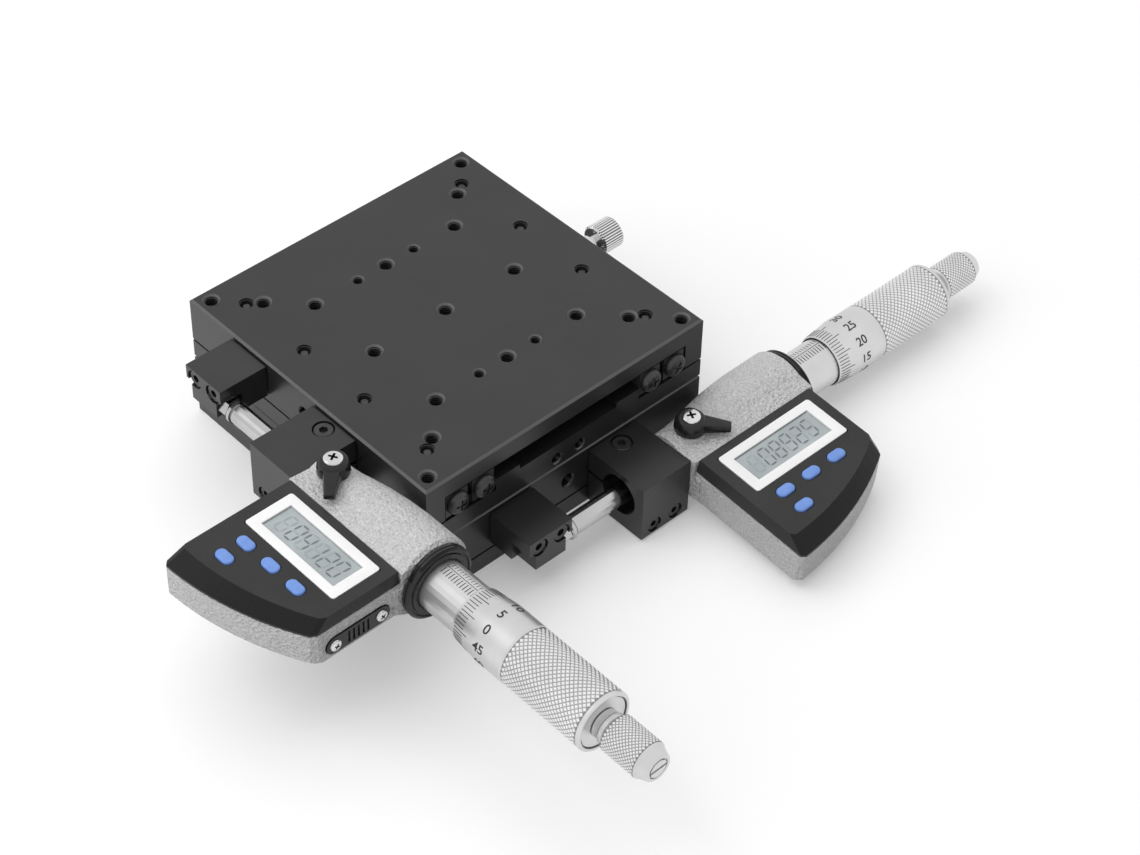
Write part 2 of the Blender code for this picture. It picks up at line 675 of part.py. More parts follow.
def return_spring(name, parent):
    """An extension spring with a hook round each post: it keeps the stop against the spindle."""
    hook = POST_RADIUS + SEAT_GAP + SPRING_WIRE / 2
    start = UPPER_POST_X + hook + HOOK_LEAD
    end = LOWER_POST_X - hook - HOOK_LEAD
    first = arc((UPPER_POST_X, 0), hook, 120, 345, 7)
    last = arc((LOWER_POST_X, 0), hook, 195, 420, 7)
    steps = SPRING_TURNS * 8
    path = [(x, y, 0) for x, y in first]
    for i in range(steps + 1):
        angle = math.tau * i / 8
        x = start + (end - start) * i / steps
        path.append((x, SPRING_COIL_RADIUS * math.sin(angle), SPRING_COIL_RADIUS * math.cos(angle)))
    path += [(x, y, 0) for x, y in last]
    curve = bpy.data.curves.new(name, "CURVE")
    curve.dimensions = "3D"
    curve.bevel_depth = SPRING_WIRE / 2
    curve.bevel_resolution = 2
    curve.use_fill_caps = True
    spline = curve.splines.new("POLY")
    spline.points.add(len(path) - 1)
    for spot, place in zip(spline.points, path):
        spot.co = (*place, 1)
    spring = bpy.data.objects.new(name, curve)
    spring.location = (0, 0, SPRING_HEIGHT)
    spring.parent = parent
    PARTS.objects.link(spring)
    paint(spring, "spring_wire")
    return spring


def stop_block(name, parent):
    """The block on the moving plate that the spindle pushes, stepped so that the anvil sits in a notch."""
    front = DRIVE_FACE - STOP_DEPTH
    low = BLOCK_TOP - STOP_HEIGHT
    body = block(name, (-STOP_WIDTH, front, low), (0, DRIVE_FACE, BLOCK_TOP), parent, "black_anodised")
    notches = bmesh.new()
    spare = STOP_NOTCH
    add_block(notches, (-STOP_NOTCH, front - spare, low - spare), (spare, STOP_NOTCH_BACK, STOP_NOTCH_TOP))
    add_block(notches, (-STOP_WIDTH - spare, front - spare, low - spare),
              (STOP_NOTCH - STOP_WIDTH, STOP_NOTCH_BACK, STOP_NOTCH_TOP))
    cutter = mesh_object(f"{name}_notches", notches, parent)
    height = BLOCK_TOP - STOP_CAP_DROP
    spots = [(-STOP_WIDTH / 2 + s * CAP_PITCH / 2, front, height) for s in (-1, 1)]
    screws = cap_screw_cutters(name, spots, (0, -1, 0), CAP_RADIUS, parent)
    return combine(body, "DIFFERENCE", cutter, *screws)


def stop_anvil(name, parent):
    """The hardened hex stop in the block's notch, on the head's axis."""
    start = (ANVIL_START, AXIS_Y, AXIS_HEIGHT)
    end = (ANVIL_START + ANVIL_LENGTH, AXIS_Y, AXIS_HEIGHT)
    return rod(name, start, end, ANVIL_RADIUS, parent, "bright_steel", 6)


def holder(name, parent):
    """The split clamp block that is screwed to the lower plate and grips the head's stem."""
    front = DRIVE_FACE - HOLDER_DEPTH
    body = block(name, (-HOLDER_LENGTH, front, HOLDER_FOOT), (0, DRIVE_FACE, BLOCK_TOP), parent,
                 "black_anodised")
    spare = HOLDER_LENGTH / 2
    bore = rod(f"{name}_bore", (-HOLDER_LENGTH - spare, AXIS_Y, AXIS_HEIGHT),
               (spare, AXIS_Y, AXIS_HEIGHT), STEM_BORE, parent, segments=FINE)
    slit = block(f"{name}_slit", (-HOLDER_LENGTH - spare, AXIS_Y, AXIS_HEIGHT - CLAMP_SLIT / 2),
                 (spare, 0, AXIS_HEIGHT + CLAMP_SLIT / 2), parent)
    clamp_y = AXIS_Y + CLAMP_OFFSET
    middle = -HOLDER_LENGTH / 2
    floor = BLOCK_TOP - CLAMP_HEAD_HEIGHT - 2 * SEAT_GAP
    seat = bmesh.new()
    profile = [
        (0, 2 * floor), (CLAMP_HEAD_RADIUS + SEAT_GAP, 2 * floor), (CLAMP_HEAD_RADIUS + SEAT_GAP, floor),
        (CLAMP_SHANK_RADIUS + SEAT_GAP, floor), (CLAMP_SHANK_RADIUS + SEAT_GAP, CLAMP_SHANK_END - SEAT_GAP),
        (0, CLAMP_SHANK_END - SEAT_GAP),
    ]
    add_turned(seat, profile, (middle, clamp_y, 0), segments=ROUND)
    spots = [(middle + s * CAP_PITCH / 2, front, HOLDER_CAP_HEIGHT) for s in (-1, 1)]
    screws = cap_screw_cutters(name, spots, (0, -1, 0), HOLDER_CAP_RADIUS, parent)
    return combine(body, "DIFFERENCE", bore, slit, mesh_object(f"{name}_clamp_hole", seat, parent), *screws)


def clamp_screw(name, parent):
    """The socket screw that pulls the slit closed."""
    place = (-HOLDER_LENGTH / 2, AXIS_Y + CLAMP_OFFSET, 0)
    top = BLOCK_TOP - SEAT_GAP
    under = top - CLAMP_HEAD_HEIGHT
    profile = [
        (0, top), (CLAMP_HEAD_RADIUS * 0.88, top), (CLAMP_HEAD_RADIUS, top - CLAMP_HEAD_RADIUS * 0.12),
        (CLAMP_HEAD_RADIUS, under), (CLAMP_SHANK_RADIUS, under), (CLAMP_SHANK_RADIUS, CLAMP_SHANK_END),
        (0, CLAMP_SHANK_END),
    ]
    screw = turned(name, profile, parent, "black_screw", place, segments=ROUND)
    socket = rod(f"{name}_socket", (place[0], place[1], top - HEX_DEPTH),
                 (place[0], place[1], top + HEX_DEPTH), HEX_RADIUS, parent, segments=6)
    return combine(screw, "DIFFERENCE", socket)


def lock_plate(name, parent, place_x):
    """The bracket on the lower plate's far side that carries the stage's lock screw."""
    low_y = HALF_PLATE + SEAT_GAP
    high_y = low_y + LOCK_PLATE_THICKNESS
    half = LOCK_PLATE_WIDTH / 2
    body = block(name, (place_x - half, low_y, HOLDER_FOOT), (place_x + half, high_y, LOCK_PLATE_TOP),
                 parent, "black_anodised")
    hole = rod(f"{name}_hole", (place_x, 0, LOCK_HEIGHT), (place_x, 2 * high_y, LOCK_HEIGHT),
               LOCK_THREAD_RADIUS + SEAT_GAP, parent)
    height = (HOLDER_FOOT + FLANGE_THICKNESS) / 2
    spots = [(place_x + s * CAP_PITCH / 2, high_y, height) for s in (-1, 1)]
    screws = cap_screw_cutters(name, spots, (0, 1, 0), HOLDER_CAP_RADIUS * 0.85, parent)
    return combine(body, "DIFFERENCE", hole, *screws)


def lock_screw(name, parent, place_x):
    """The knurled screw whose end presses on the moving plate's wall."""
    tip = HALF_PLATE + SEAT_GAP
    collar = tip + LOCK_PLATE_THICKNESS + SEAT_GAP
    neck = collar + LOCK_COLLAR_LENGTH
    knob = neck + LOCK_NECK_LENGTH
    end = knob + LOCK_KNOB_LENGTH
    cut = LOCK_KNOB_RADIUS * 0.1
    profile = [
        (0, end), (LOCK_KNOB_RADIUS - cut, end), (LOCK_KNOB_RADIUS, end - cut),
        (LOCK_KNOB_RADIUS, knob + cut), (LOCK_KNOB_RADIUS - cut, knob), (LOCK_NECK_RADIUS, knob),
        (LOCK_NECK_RADIUS, neck), (LOCK_COLLAR_RADIUS, neck), (LOCK_COLLAR_RADIUS, collar),
        (LOCK_THREAD_RADIUS, collar), (LOCK_THREAD_RADIUS, tip), (0, tip),
    ]
    return turned(name, profile, parent, "satin_chrome", (place_x, 0, LOCK_HEIGHT), (0, 1, 0), ROUND)


def cover_outline(slope_near, slope_far, slope_side, rounding=0.0015):
    """The plan of the display box, drawn in by the slopes: (along, outward) points from the inner edge.

    The outer edge is an arc from the holder's side, where the box is widest, to the thimble's side.
    """
    near_x, far_x = BOX_START + slope_side, BOX_LENGTH - slope_side / 2
    near = Vector((near_x, BOX_REACH_NEAR - slope_near))
    far = Vector((far_x, BOX_REACH_FAR - slope_far))
    chord = far - near
    bulge = BOX_BULGE
    radius = chord.length_squared / (8 * bulge) + bulge / 2
    across = Vector((-chord.y, chord.x)).normalized()
    centre = (near + far) / 2 + across * (bulge - radius)
    start = math.atan2(near.y - centre.y, near.x - centre.x)
    end = math.atan2(far.y - centre.y, far.x - centre.x)
    edge = []
    for i in range(EDGE_STEPS + 1):
        angle = start + (end - start) * i / EDGE_STEPS
        edge.append(Vector((centre.x + radius * math.cos(angle), centre.y + radius * math.sin(angle))))
    first = edge[0] + Vector((0, -rounding))
    edge[0] = edge[0] + (edge[1] - edge[0]).normalized() * rounding
    last = edge[-1] + Vector((0, -rounding))
    edge[-1] = edge[-1] + (edge[-2] - edge[-1]).normalized() * rounding
    return [Vector((near_x, COVER_INNER)), first, *edge, last, Vector((far_x, COVER_INNER))]


def plan_ring(outline, height, inner=None):
    """An outline of (along, outward) at a height, in the head's frame, where outward is -Y."""
    return [(x, -(inner if inner is not None and y == COVER_INNER else y), height) for x, y in outline]


def barrel_section(along, radius, rise):
    """The casting's section across the axis: a round back, a flat underside and the cover's shoulder."""
    ring = []
    for angle in range(60, 286, BARREL_STEP):
        a = math.radians(angle)
        floor = BARREL_FLOOR + BARREL_CROWN * math.cos(a) ** 2
        ring.append((along, -radius * math.cos(a), max(rise + radius * math.sin(a), floor)))
    inside = SHOULDER_WIDTH + BOX_ROUNDING * 2
    low = BOX_FLOOR + BOX_ROUNDING
    ring += [(along, -inside, low), (along, -inside, BOX_SEAT - BOX_ROUNDING)]
    ring += [(along, -SHOULDER_WIDTH, BOX_SEAT - BOX_ROUNDING), (along, -SHOULDER_WIDTH, SHOULDER_HEIGHT)]
    return ring


def casting(name, parent, start):
    """The head's casting: the barrel on the axis, the display box beside it and the stem in the holder."""
    inset = BOX_ROUNDING
    full = cover_outline(0, 0, 0)
    drawn = cover_outline(inset, inset, inset * 0.3)
    inner = SHOULDER_WIDTH - BOX_ROUNDING
    box = mesh_object(name, loft([
        plan_ring(drawn, BOX_FLOOR, inner), plan_ring(full, BOX_FLOOR + BOX_ROUNDING, inner),
        plan_ring(full, BOX_SEAT, inner),
    ]), parent, "hammered_grey")
    stations = []
    for place, swell in BARREL_SWELL:
        along = start + place * (CASTING_LENGTH - start)
        radius = NECK_RADIUS + (BARREL_RADIUS - NECK_RADIUS) * swell
        stations.append(barrel_section(along, radius, NECK_RISE * (1 - swell)))
    stations.append(barrel_section(CASTING_LENGTH, BARREL_RADIUS - BARREL_ROUNDING, 0))
    barrel = mesh_object(f"{name}_barrel", loft(stations), parent)
    stem_start = start - SEAT_GAP + STEM_RECESS - HOLDER_LENGTH
    stem = rod(f"{name}_stem", (stem_start, 0, 0), (CASTING_LENGTH / 4, 0, 0), STEM_RADIUS, parent,
               segments=FINE)
    x, out = LEVER_PLACE
    boss = rod(f"{name}_boss", (x, -out, BOX_SEAT), (x, -out, LEVER_BOSS_HEIGHT),
               LEVER_RADIUS + SEAT_GAP, parent, segments=ROUND)
    bores = bmesh.new()
    profile = [
        (0, CASTING_LENGTH * 2), (THIMBLE_BORE, CASTING_LENGTH * 2), (THIMBLE_BORE, SLEEVE_START - SEAT_GAP),
        (SPINDLE_BORE, SLEEVE_START - SEAT_GAP), (SPINDLE_BORE, -HOLDER_LENGTH * 2), (0, -HOLDER_LENGTH * 2),
    ]
    add_turned(bores, profile, (0, 0, 0), (1, 0, 0), FINE)
    bore = mesh_object(f"{name}_bore", bores, parent)
    pocket = hatch_solid(f"{name}_hatch_pocket", HATCH_LENGTH + 2 * SEAT_GAP, HATCH_HEIGHT + 2 * SEAT_GAP,
                         BOX_LENGTH - HATCH_DEPTH - SEAT_GAP, BOX_LENGTH + HATCH_LENGTH, parent)
    combine(box, "UNION", barrel, stem, boss)
    return combine(box, "DIFFERENCE", bore, pocket)


def hatch_solid(name, length, height, start, end, parent, finish=None):
    """A slot-shaped prism that stands along the head's axis on the thimble side of the box."""
    bm = outline_mesh(stadium(length, height), end - start)
    out, up = HATCH_CENTRE
    across = Matrix(((0, 0, 1, (start + end) / 2), (1, 0, 0, -out), (0, 1, 0, up), (0, 0, 0, 1)))
    bmesh.ops.transform(bm, matrix=across, verts=bm.verts)
    return mesh_object(name, bm, parent, finish)


def battery_hatch(name, parent):
    start, end = BOX_LENGTH - HATCH_DEPTH, BOX_LENGTH + HATCH_PROUD
    plate = hatch_solid(name, HATCH_LENGTH, HATCH_HEIGHT, start, end, parent, "black_plastic")
    out, up = HATCH_CENTRE
    grooves, screws = bmesh.new(), bmesh.new()
    tall = HATCH_HEIGHT * 0.36
    for i in range(HATCH_RIBS):
        y = -out + (i - (HATCH_RIBS - 1) / 2) * HATCH_RIB_PITCH
        wide = HATCH_RIB_PITCH * 0.22
        add_block(grooves, (end - HATCH_PROUD, y - wide, up - tall),
                  (end + HATCH_PROUD, y + wide, up + tall))
    for side in (-1, 1):
        y = -out + side * HATCH_SCREW_PITCH / 2
        add_rod(screws, (start + HATCH_PROUD, y, up), (end + HATCH_PROUD, y, up), HATCH_SCREW_RADIUS)
    combine(plate, "DIFFERENCE", mesh_object(f"{name}_grooves", grooves, parent))
    return combine(plate, "UNION", mesh_object(f"{name}_screws", screws, parent))


def display_cover(name, parent):
    """The black cover with its sloped edges, a pocket for the screen frame and slots for the buttons."""
    low = cover_outline(0, 0, 0)
    high = cover_outline(COVER_SLOPE_NEAR, COVER_SLOPE_FAR, COVER_SLOPE_SIDE)
    cover = mesh_object(name, loft([
        plan_ring(low, COVER_BOTTOM), plan_ring(low, COVER_BOTTOM + COVER_LIP), plan_ring(high, COVER_TOP),
    ]), parent, "black_plastic")
    depth = SCREEN_FRAME_HEIGHT - SCREEN_PROUD + SEAT_GAP
    start, out = SCREEN_FRAME_START, SCREEN_FRAME_OUT
    gap = SEAT_GAP
    pocket = block(f"{name}_pocket",
                   (start - gap, -out - SCREEN_FRAME_WIDTH - gap, COVER_TOP - depth),
                   (start + SCREEN_FRAME_LENGTH + gap, -out + gap, COVER_TOP + depth), parent)
    slots = bmesh.new()
    for x, y in button_places():
        add_slot(slots, x, y, BUTTON_LENGTH + 2 * gap, BUTTON_WIDTH + 2 * gap,
                 COVER_BOTTOM - COVER_HEIGHT, COVER_TOP + COVER_HEIGHT)
    return combine(cover, "DIFFERENCE", pocket, mesh_object(f"{name}_slots", slots, parent))


def button_places():
    """A row of three along the screen, and one more outward of the first."""
    x, out = BUTTON_FIRST
    row = [(x + i * BUTTON_PITCH, -out) for i in range(3)]
    return row + [(x, -out - BUTTON_ROW_PITCH)]


def add_slot(bm, x, y, length, width, low, high):
    """Adds a slot-shaped prism along X, standing between two heights."""
    points = stadium(length, width)
    bottom = [bm.verts.new((x + px, y + py, low)) for px, py in points]
    top = [bm.verts.new((x + px, y + py, high)) for px, py in points]
    bm.faces.new(reversed(bottom))
    bm.faces.new(top)
    for i in range(len(points)):
        j = (i + 1) % len(points)
        bm.faces.new((bottom[i], bottom[j], top[j], top[i]))


def screen_frame(name, parent):
    low = COVER_TOP + SCREEN_PROUD - SCREEN_FRAME_HEIGHT
    bm = outline_mesh(rounded_box(SCREEN_FRAME_LENGTH, SCREEN_FRAME_WIDTH, SCREEN_FRAME_ROUNDING),
                      SCREEN_FRAME_HEIGHT)
    centre = (SCREEN_FRAME_START + SCREEN_FRAME_LENGTH / 2,
              -SCREEN_FRAME_OUT - SCREEN_FRAME_WIDTH / 2, low + SCREEN_FRAME_HEIGHT / 2)
    bmesh.ops.translate(bm, vec=centre, verts=bm.verts)
    frame = mesh_object(name, bm, parent, "white_plastic")
    half_x = SCREEN_FRAME_LENGTH / 2 - SCREEN_BORDER
    half_y = SCREEN_FRAME_WIDTH / 2 - SCREEN_BORDER * 0.85
    tall = SCREEN_FRAME_HEIGHT
    opening = block(f"{name}_opening", (centre[0] - half_x, centre[1] - half_y, centre[2] - tall),
                    (centre[0] + half_x, centre[1] + half_y, centre[2] + tall), parent)
    combine(frame, "DIFFERENCE", opening)
    gap = SEAT_GAP
    window = block(name.replace("frame", "window"),
                   (centre[0] - half_x + gap, centre[1] - half_y + gap, low),
                   (centre[0] + half_x - gap, centre[1] + half_y - gap, low + SCREEN_WINDOW_HEIGHT),
                   parent, "screen_grey")
    return frame, window


def buttons(axis, parent):
    """The four keys, each with its origin on the line it is pressed along."""
    top = COVER_TOP + BUTTON_PROUD
    for number, (x, y) in enumerate(button_places(), 1):
        bm = bmesh.new()
        add_slot(bm, 0, 0, BUTTON_LENGTH, BUTTON_WIDTH, -BUTTON_HEIGHT, 0)
        chamfer_edges(bm, BUTTON_PROUD * 0.6, lambda edge: min(v.co.z for v in edge.verts) > -1e-6)
        mesh_object(f"{axis}_button_{number}", bm, parent, "blue_plastic", (x, y, top))


def lock_lever(name, parent):
    """The small lever that locks the spindle: a turned hub, a tapered arm and the screw on top."""
    base = LEVER_BOSS_HEIGHT + SEAT_GAP
    top = LEVER_HEIGHT
    head = LEVER_SCREW_HEIGHT
    x, out = LEVER_PLACE
    profile = [
        (0, top + head), (LEVER_SCREW_RADIUS * 0.75, top + head), (LEVER_SCREW_RADIUS, top + head * 0.4),
        (LEVER_SCREW_RADIUS, top), (LEVER_TOP_RADIUS, top), (LEVER_RADIUS, top * 0.3), (LEVER_RADIUS, 0),
        (0, 0),
    ]
    hub = turned(name, profile, parent, "black_plastic", (x, -out, base), segments=ROUND)
    sections = ((0.25, 0.0033, 0.12, 0.86), (0.62, 0.0023, 0.14, 0.66), (1.0, 0.0019, 0.14, 0.60))
    rings = []
    for share, half, low, high in sections:
        reach = share * LEVER_REACH
        rings.append([(reach, -half, top * low), (reach, half, top * low),
                      (reach, half * 0.8, top * high), (reach, -half * 0.8, top * high)])
    arm = mesh_object(f"{name}_arm", loft(rings), parent, location=(x, -out, base),
                      rotation=(0, 0, LEVER_TURN))
    return combine(hub, "UNION", arm)


def ring_and_sleeve(axis, parent):
    """The graduated sleeve in the casting's mouth, and the black ring that closes the mouth."""
    sleeve = [
        (SLEEVE_RADIUS, SLEEVE_LENGTH), (SLEEVE_RADIUS, 0), (SPINDLE_BORE, 0), (SPINDLE_BORE, SLEEVE_LENGTH),
    ]
    turned(f"{axis}_sleeve", sleeve, parent, "satin_chrome", (SLEEVE_START, 0, 0), (1, 0, 0))
    cut = RING_LENGTH / 3
    inner = SLEEVE_RADIUS + SEAT_GAP
    ring = [
        (inner, RING_LENGTH), (inner + cut, RING_LENGTH), (RING_RADIUS - cut, RING_LENGTH - cut / 2),
        (RING_RADIUS, RING_LENGTH - cut), (RING_RADIUS, 0), (inner, 0),
    ]
    turned(f"{axis}_ring_nut", ring, parent, "black_plastic", (RING_START, 0, 0), (1, 0, 0))


def spindle(name, parent, start):
    """The spindle: a collar at its tip, the ground rod, and its seat in the thimble's hub."""
    length = SPINDLE_END - start
    tip = SPINDLE_TIP_LENGTH
    groove = SPINDLE_RADIUS * 0.9
    profile = [
        (0, length), (SPINDLE_RADIUS, length), (SPINDLE_RADIUS, tip * 1.4), (groove, tip * 1.4),
        (groove, tip), (SPINDLE_TIP_RADIUS, tip), (SPINDLE_TIP_RADIUS, tip * 0.25),
        (SPINDLE_TIP_RADIUS * 0.85, 0), (0, 0),
    ]
    turned(name, profile, parent, "bright_steel", (start, 0, 0), (1, 0, 0), ROUND)


def thimble(name, parent):
    """The thimble: a thin graduated skirt over the sleeve, and a hub on the spindle's end."""
    length = THIMBLE_LENGTH
    cut = THIMBLE_CHAMFER
    hub = length - THIMBLE_HUB
    spigot = RATCHET_SPIGOT_RADIUS + SEAT_GAP
    spigot_floor = length - RATCHET_SPIGOT_LENGTH - SEAT_GAP
    rim = THIMBLE_RADIUS - THIMBLE_RIM
    face = length - THIMBLE_RECESS
    profile = [
        (0, spigot_floor), (spigot, spigot_floor), (spigot, face), (rim, face), (rim, length),
        (THIMBLE_RADIUS - cut, length), (THIMBLE_RADIUS, length - cut), (THIMBLE_RADIUS, THIMBLE_CONE),
        (THIMBLE_EDGE_RADIUS, 0), (THIMBLE_BORE, 0), (THIMBLE_BORE, hub), (SPINDLE_BORE, hub),
        (SPINDLE_BORE, hub + SPINDLE_SEAT + SEAT_GAP), (0, hub + SPINDLE_SEAT + SEAT_GAP),
    ]
    turned(name, profile, parent, "satin_chrome", (THIMBLE_START, 0, 0), (1, 0, 0))


def ratchet(name, parent):
    """The ratchet knob: a spigot in the thimble, a neck, the knurled grip and a slotted cap."""
    start = THIMBLE_END - RATCHET_SPIGOT_LENGTH
    face = RATCHET_SPIGOT_LENGTH - THIMBLE_RECESS + SEAT_GAP
    grip = RATCHET_SPIGOT_LENGTH + RATCHET_GAP
    shoulder = grip + RATCHET_LENGTH
    end = shoulder + RATCHET_CAP_LENGTH
    cut = RATCHET_RADIUS * 0.07
    profile = [
        (0, end), (RATCHET_CAP_RADIUS - cut, end), (RATCHET_CAP_RADIUS, end - cut),
        (RATCHET_RADIUS - cut, shoulder), (RATCHET_RADIUS, shoulder - cut), (RATCHET_RADIUS, grip + cut),
        (RATCHET_RADIUS - cut, grip), (RATCHET_NECK_RADIUS, grip), (RATCHET_NECK_RADIUS, face),
        (RATCHET_SPIGOT_RADIUS, face), (RATCHET_SPIGOT_RADIUS, 0), (0, 0),
    ]
    knob = turned(name, profile, parent, "satin_chrome", (start, 0, 0), (1, 0, 0), ROUND)
    reach = RATCHET_CAP_RADIUS * 0.7
    slot = block(f"{name}_slot", (start + end - RATCHET_SLOT, -reach, -RATCHET_SLOT / 2),
                 (start + end + RATCHET_SLOT, reach, RATCHET_SLOT / 2), parent)
    return combine(knob, "DIFFERENCE", slot)


def micrometer_head(axis, parent):
    """One digital micrometer head, in its own frame: the axis along X from the holder's outer face."""
    standoff = HEAD_STANDOFF[axis]
    casting(f"{axis}_head_casting", parent, SEAT_GAP - standoff)
    ring_and_sleeve(axis, parent)
    spindle(f"{axis}_spindle", parent, SPINDLE_TIP - STOP_DISTANCE[axis] - standoff)
    thimble(f"{axis}_thimble", parent)
    ratchet(f"{axis}_ratchet", parent)
    display_cover(f"{axis}_display_cover", parent)
    screen_frame(f"{axis}_screen_frame", parent)
    buttons(axis, parent)
    lock_lever(f"{axis}_lock_lever", parent)
    battery_hatch(f"{axis}_battery_hatch", parent)


def stage(axis, lower_name, upper_name, location, turn, drilled_top):
    """One stage in its own frame, with its guides, spring, drive and lock."""
    frame = new_frame(f"{axis}_stage", location, turn)
    lower_plate(lower_name, frame)
    drilling = [wall_hole(f"{upper_name}_wall_hole", frame)]
    if drilled_top:
        drilling.append(table_hole_cutters(frame))
        drilling.append(rail_screw_cutter(f"{upper_name}_rail_screws", frame, STAGE_HEIGHT))
    upper_plate(upper_name, frame, drilling)
    for label, side in (("drive", -1), ("lock", 1)):
        rail(f"{axis}_fixed_rail_{label}_side", side, INNER_RAIL[1], INNER_RAIL[0], frame)
        rail(f"{axis}_moving_rail_{label}_side", side, OUTER_RAIL[0], OUTER_RAIL[1], frame)
        roller_cage(f"{axis}_roller_cage_{label}_side", side, frame)
    return_spring(f"{axis}_return_spring", frame)
    seat = HEAD_SEAT[axis]
    holder_frame = new_frame(f"{axis}_holder_frame", (seat, 0, 0), parent=frame)
    holder(f"{axis}_head_holder", holder_frame)
    clamp_screw(f"{axis}_clamp_screw", holder_frame)
    stop_frame = new_frame(f"{axis}_stop_frame", (seat - STOP_DISTANCE[axis], 0, 0), parent=frame)
    stop_block(f"{axis}_stop_block", stop_frame)
    stop_anvil(f"{axis}_stop_anvil", stop_frame)
    head_place = (seat + HEAD_STANDOFF[axis], AXIS_Y, AXIS_HEIGHT)
    head_frame = new_frame(f"{axis}_head_frame", head_place, parent=frame)
    head_frame.rotation_euler = (HEAD_TILT[axis], 0, 0)
    micrometer_head(axis, head_frame)
    lock_plate(f"{axis}_lock_plate", frame, LOCK_X[axis])
    lock_screw(f"{axis}_lock_screw", frame, LOCK_X[axis])


stage("x", "base_plate", "saddle_plate", (0, 0, 0), 0.0, drilled_top=False)
stage("y", "cross_carriage", "table_plate", (0, 0, STAGE_PITCH), math.radians(-90), drilled_top=True)
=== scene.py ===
# %% [markdown]
# # A two-axis linear stage with digital micrometer heads
# This lesson dresses a CAD model: two crossed slides of black anodised aluminium, each pushed by a
# micrometer head with a small display. The CAD model brings every solid at its true place, so the work
# here is finish and fine detail: knurls, engraved scales, screw recesses, threads and the display's
# digits. The first cell loads the model.

# %% Load the CAD model
import math
import bmesh
import bpy
from mathutils import Matrix, Vector


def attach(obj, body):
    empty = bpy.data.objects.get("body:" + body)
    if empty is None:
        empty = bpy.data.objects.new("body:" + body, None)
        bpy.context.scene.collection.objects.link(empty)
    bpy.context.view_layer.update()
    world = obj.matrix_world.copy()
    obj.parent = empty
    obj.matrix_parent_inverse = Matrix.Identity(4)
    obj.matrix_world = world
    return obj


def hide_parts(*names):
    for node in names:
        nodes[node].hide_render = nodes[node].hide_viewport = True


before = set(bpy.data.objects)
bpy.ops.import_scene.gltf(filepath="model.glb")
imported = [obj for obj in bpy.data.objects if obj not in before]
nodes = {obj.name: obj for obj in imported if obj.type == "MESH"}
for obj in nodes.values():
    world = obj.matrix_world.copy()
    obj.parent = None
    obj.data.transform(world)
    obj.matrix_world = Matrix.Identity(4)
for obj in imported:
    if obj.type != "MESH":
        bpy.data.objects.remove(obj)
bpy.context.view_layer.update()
scene = bpy.context.scene
scene.view_settings.view_transform = "Standard"

# %% [markdown]
# ## Camera
# The picture is taken from above one corner of the table with a long lens. A long lens keeps the table's
# edges nearly parallel. The two shift values slide the picture without turning the camera, because the
# object does not stand in the middle of the frame.

# %% Camera
CAMERA_PLACE = (-0.45046, -0.52844, 0.66902)
CAMERA_HEADING = math.radians(-41.67)
CAMERA_HEIGHT = math.radians(40.54)
camera_data = bpy.data.cameras.new("camera")
camera_data.lens = 85.51
camera_data.sensor_width = 36
camera_data.sensor_fit = "HORIZONTAL"
camera_data.shift_x = 0.0714
camera_data.shift_y = -0.1493
camera_data.clip_start = 0.01
camera = bpy.data.objects.new("camera", camera_data)
camera.location = CAMERA_PLACE
camera.rotation_euler = (math.pi / 2 - CAMERA_HEIGHT, 0, CAMERA_HEADING)
scene.collection.objects.link(camera)
scene.camera = camera

# %% [markdown]
# ## Shader nodes
# All shader nodes are made in one way: a new node gets its settings, and each of its inputs gets a
# fixed value or a link from another node's output. The last helper tells a look at a surface from the
# light that the surface gets, because the world and the floor treat these two differently.


# %% Node helpers
def grey(value):
    return (value, value, value, 1)


def feed(tree, node, inputs):
    """Gives inputs of a node their values, or links where the value is another node's output."""
    for key, value in inputs.items():
        if isinstance(value, bpy.types.NodeSocket):
            tree.links.new(value, node.inputs[key])
        else:
            node.inputs[key].default_value = value


def add_node(tree, kind, inputs, **settings):
    """A new node with its settings and inputs."""
    node = tree.nodes.new(kind)
    for key, value in settings.items():
        setattr(node, key, value)
    feed(tree, node, inputs)
    return node


def blend_colours(tree, factor, dark, light):
    """A colour that runs from dark to light with a value from 0 to 1."""
    mix = add_node(tree, "ShaderNodeMix", {"Factor": factor, "A": dark, "B": light}, data_type="RGBA")
    return mix.outputs["Result"]


def looked_at(tree):
    """A value that is 1 where the camera, gloss or glass looks, and 0 where light falls."""
    path = tree.nodes.new("ShaderNodeLightPath")
    seen = path.outputs["Is Camera Ray"]
    for ray in ("Is Glossy Ray", "Is Transmission Ray"):
        either = add_node(tree, "ShaderNodeMath", {0: seen, 1: path.outputs[ray]}, operation="MAXIMUM")
        seen = either.outputs[0]
    return seen



# %% [markdown]
# ## Light and floor
# A soft white studio suits dark anodised plates: they show their form by what they mirror. One large
# lamp from the left lights the side walls, a second one from above gives the tops an even tone, and the
# side towards the camera stays darker. The world is white where the camera, gloss or glass looks
# at it, and much weaker as a light. The two large lamps don't show in reflections, where they would add
# to the white of the world and burn out the chrome. A small weak one does, and gives it a glint.

# %% World and lamps
WORLD_LIGHT = 0.36
LAMP_TARGET = Vector((0, 0, 0.03))
world = bpy.data.worlds.new("studio")
scene.world = world
world.use_nodes = True
sky = world.node_tree
level = add_node(sky, "ShaderNodeMapRange",
                 {"Value": looked_at(sky), "To Min": WORLD_LIGHT, "To Max": 1.0})
feed(sky, sky.nodes["Background"], {"Color": grey(1), "Strength": level.outputs["Result"]})


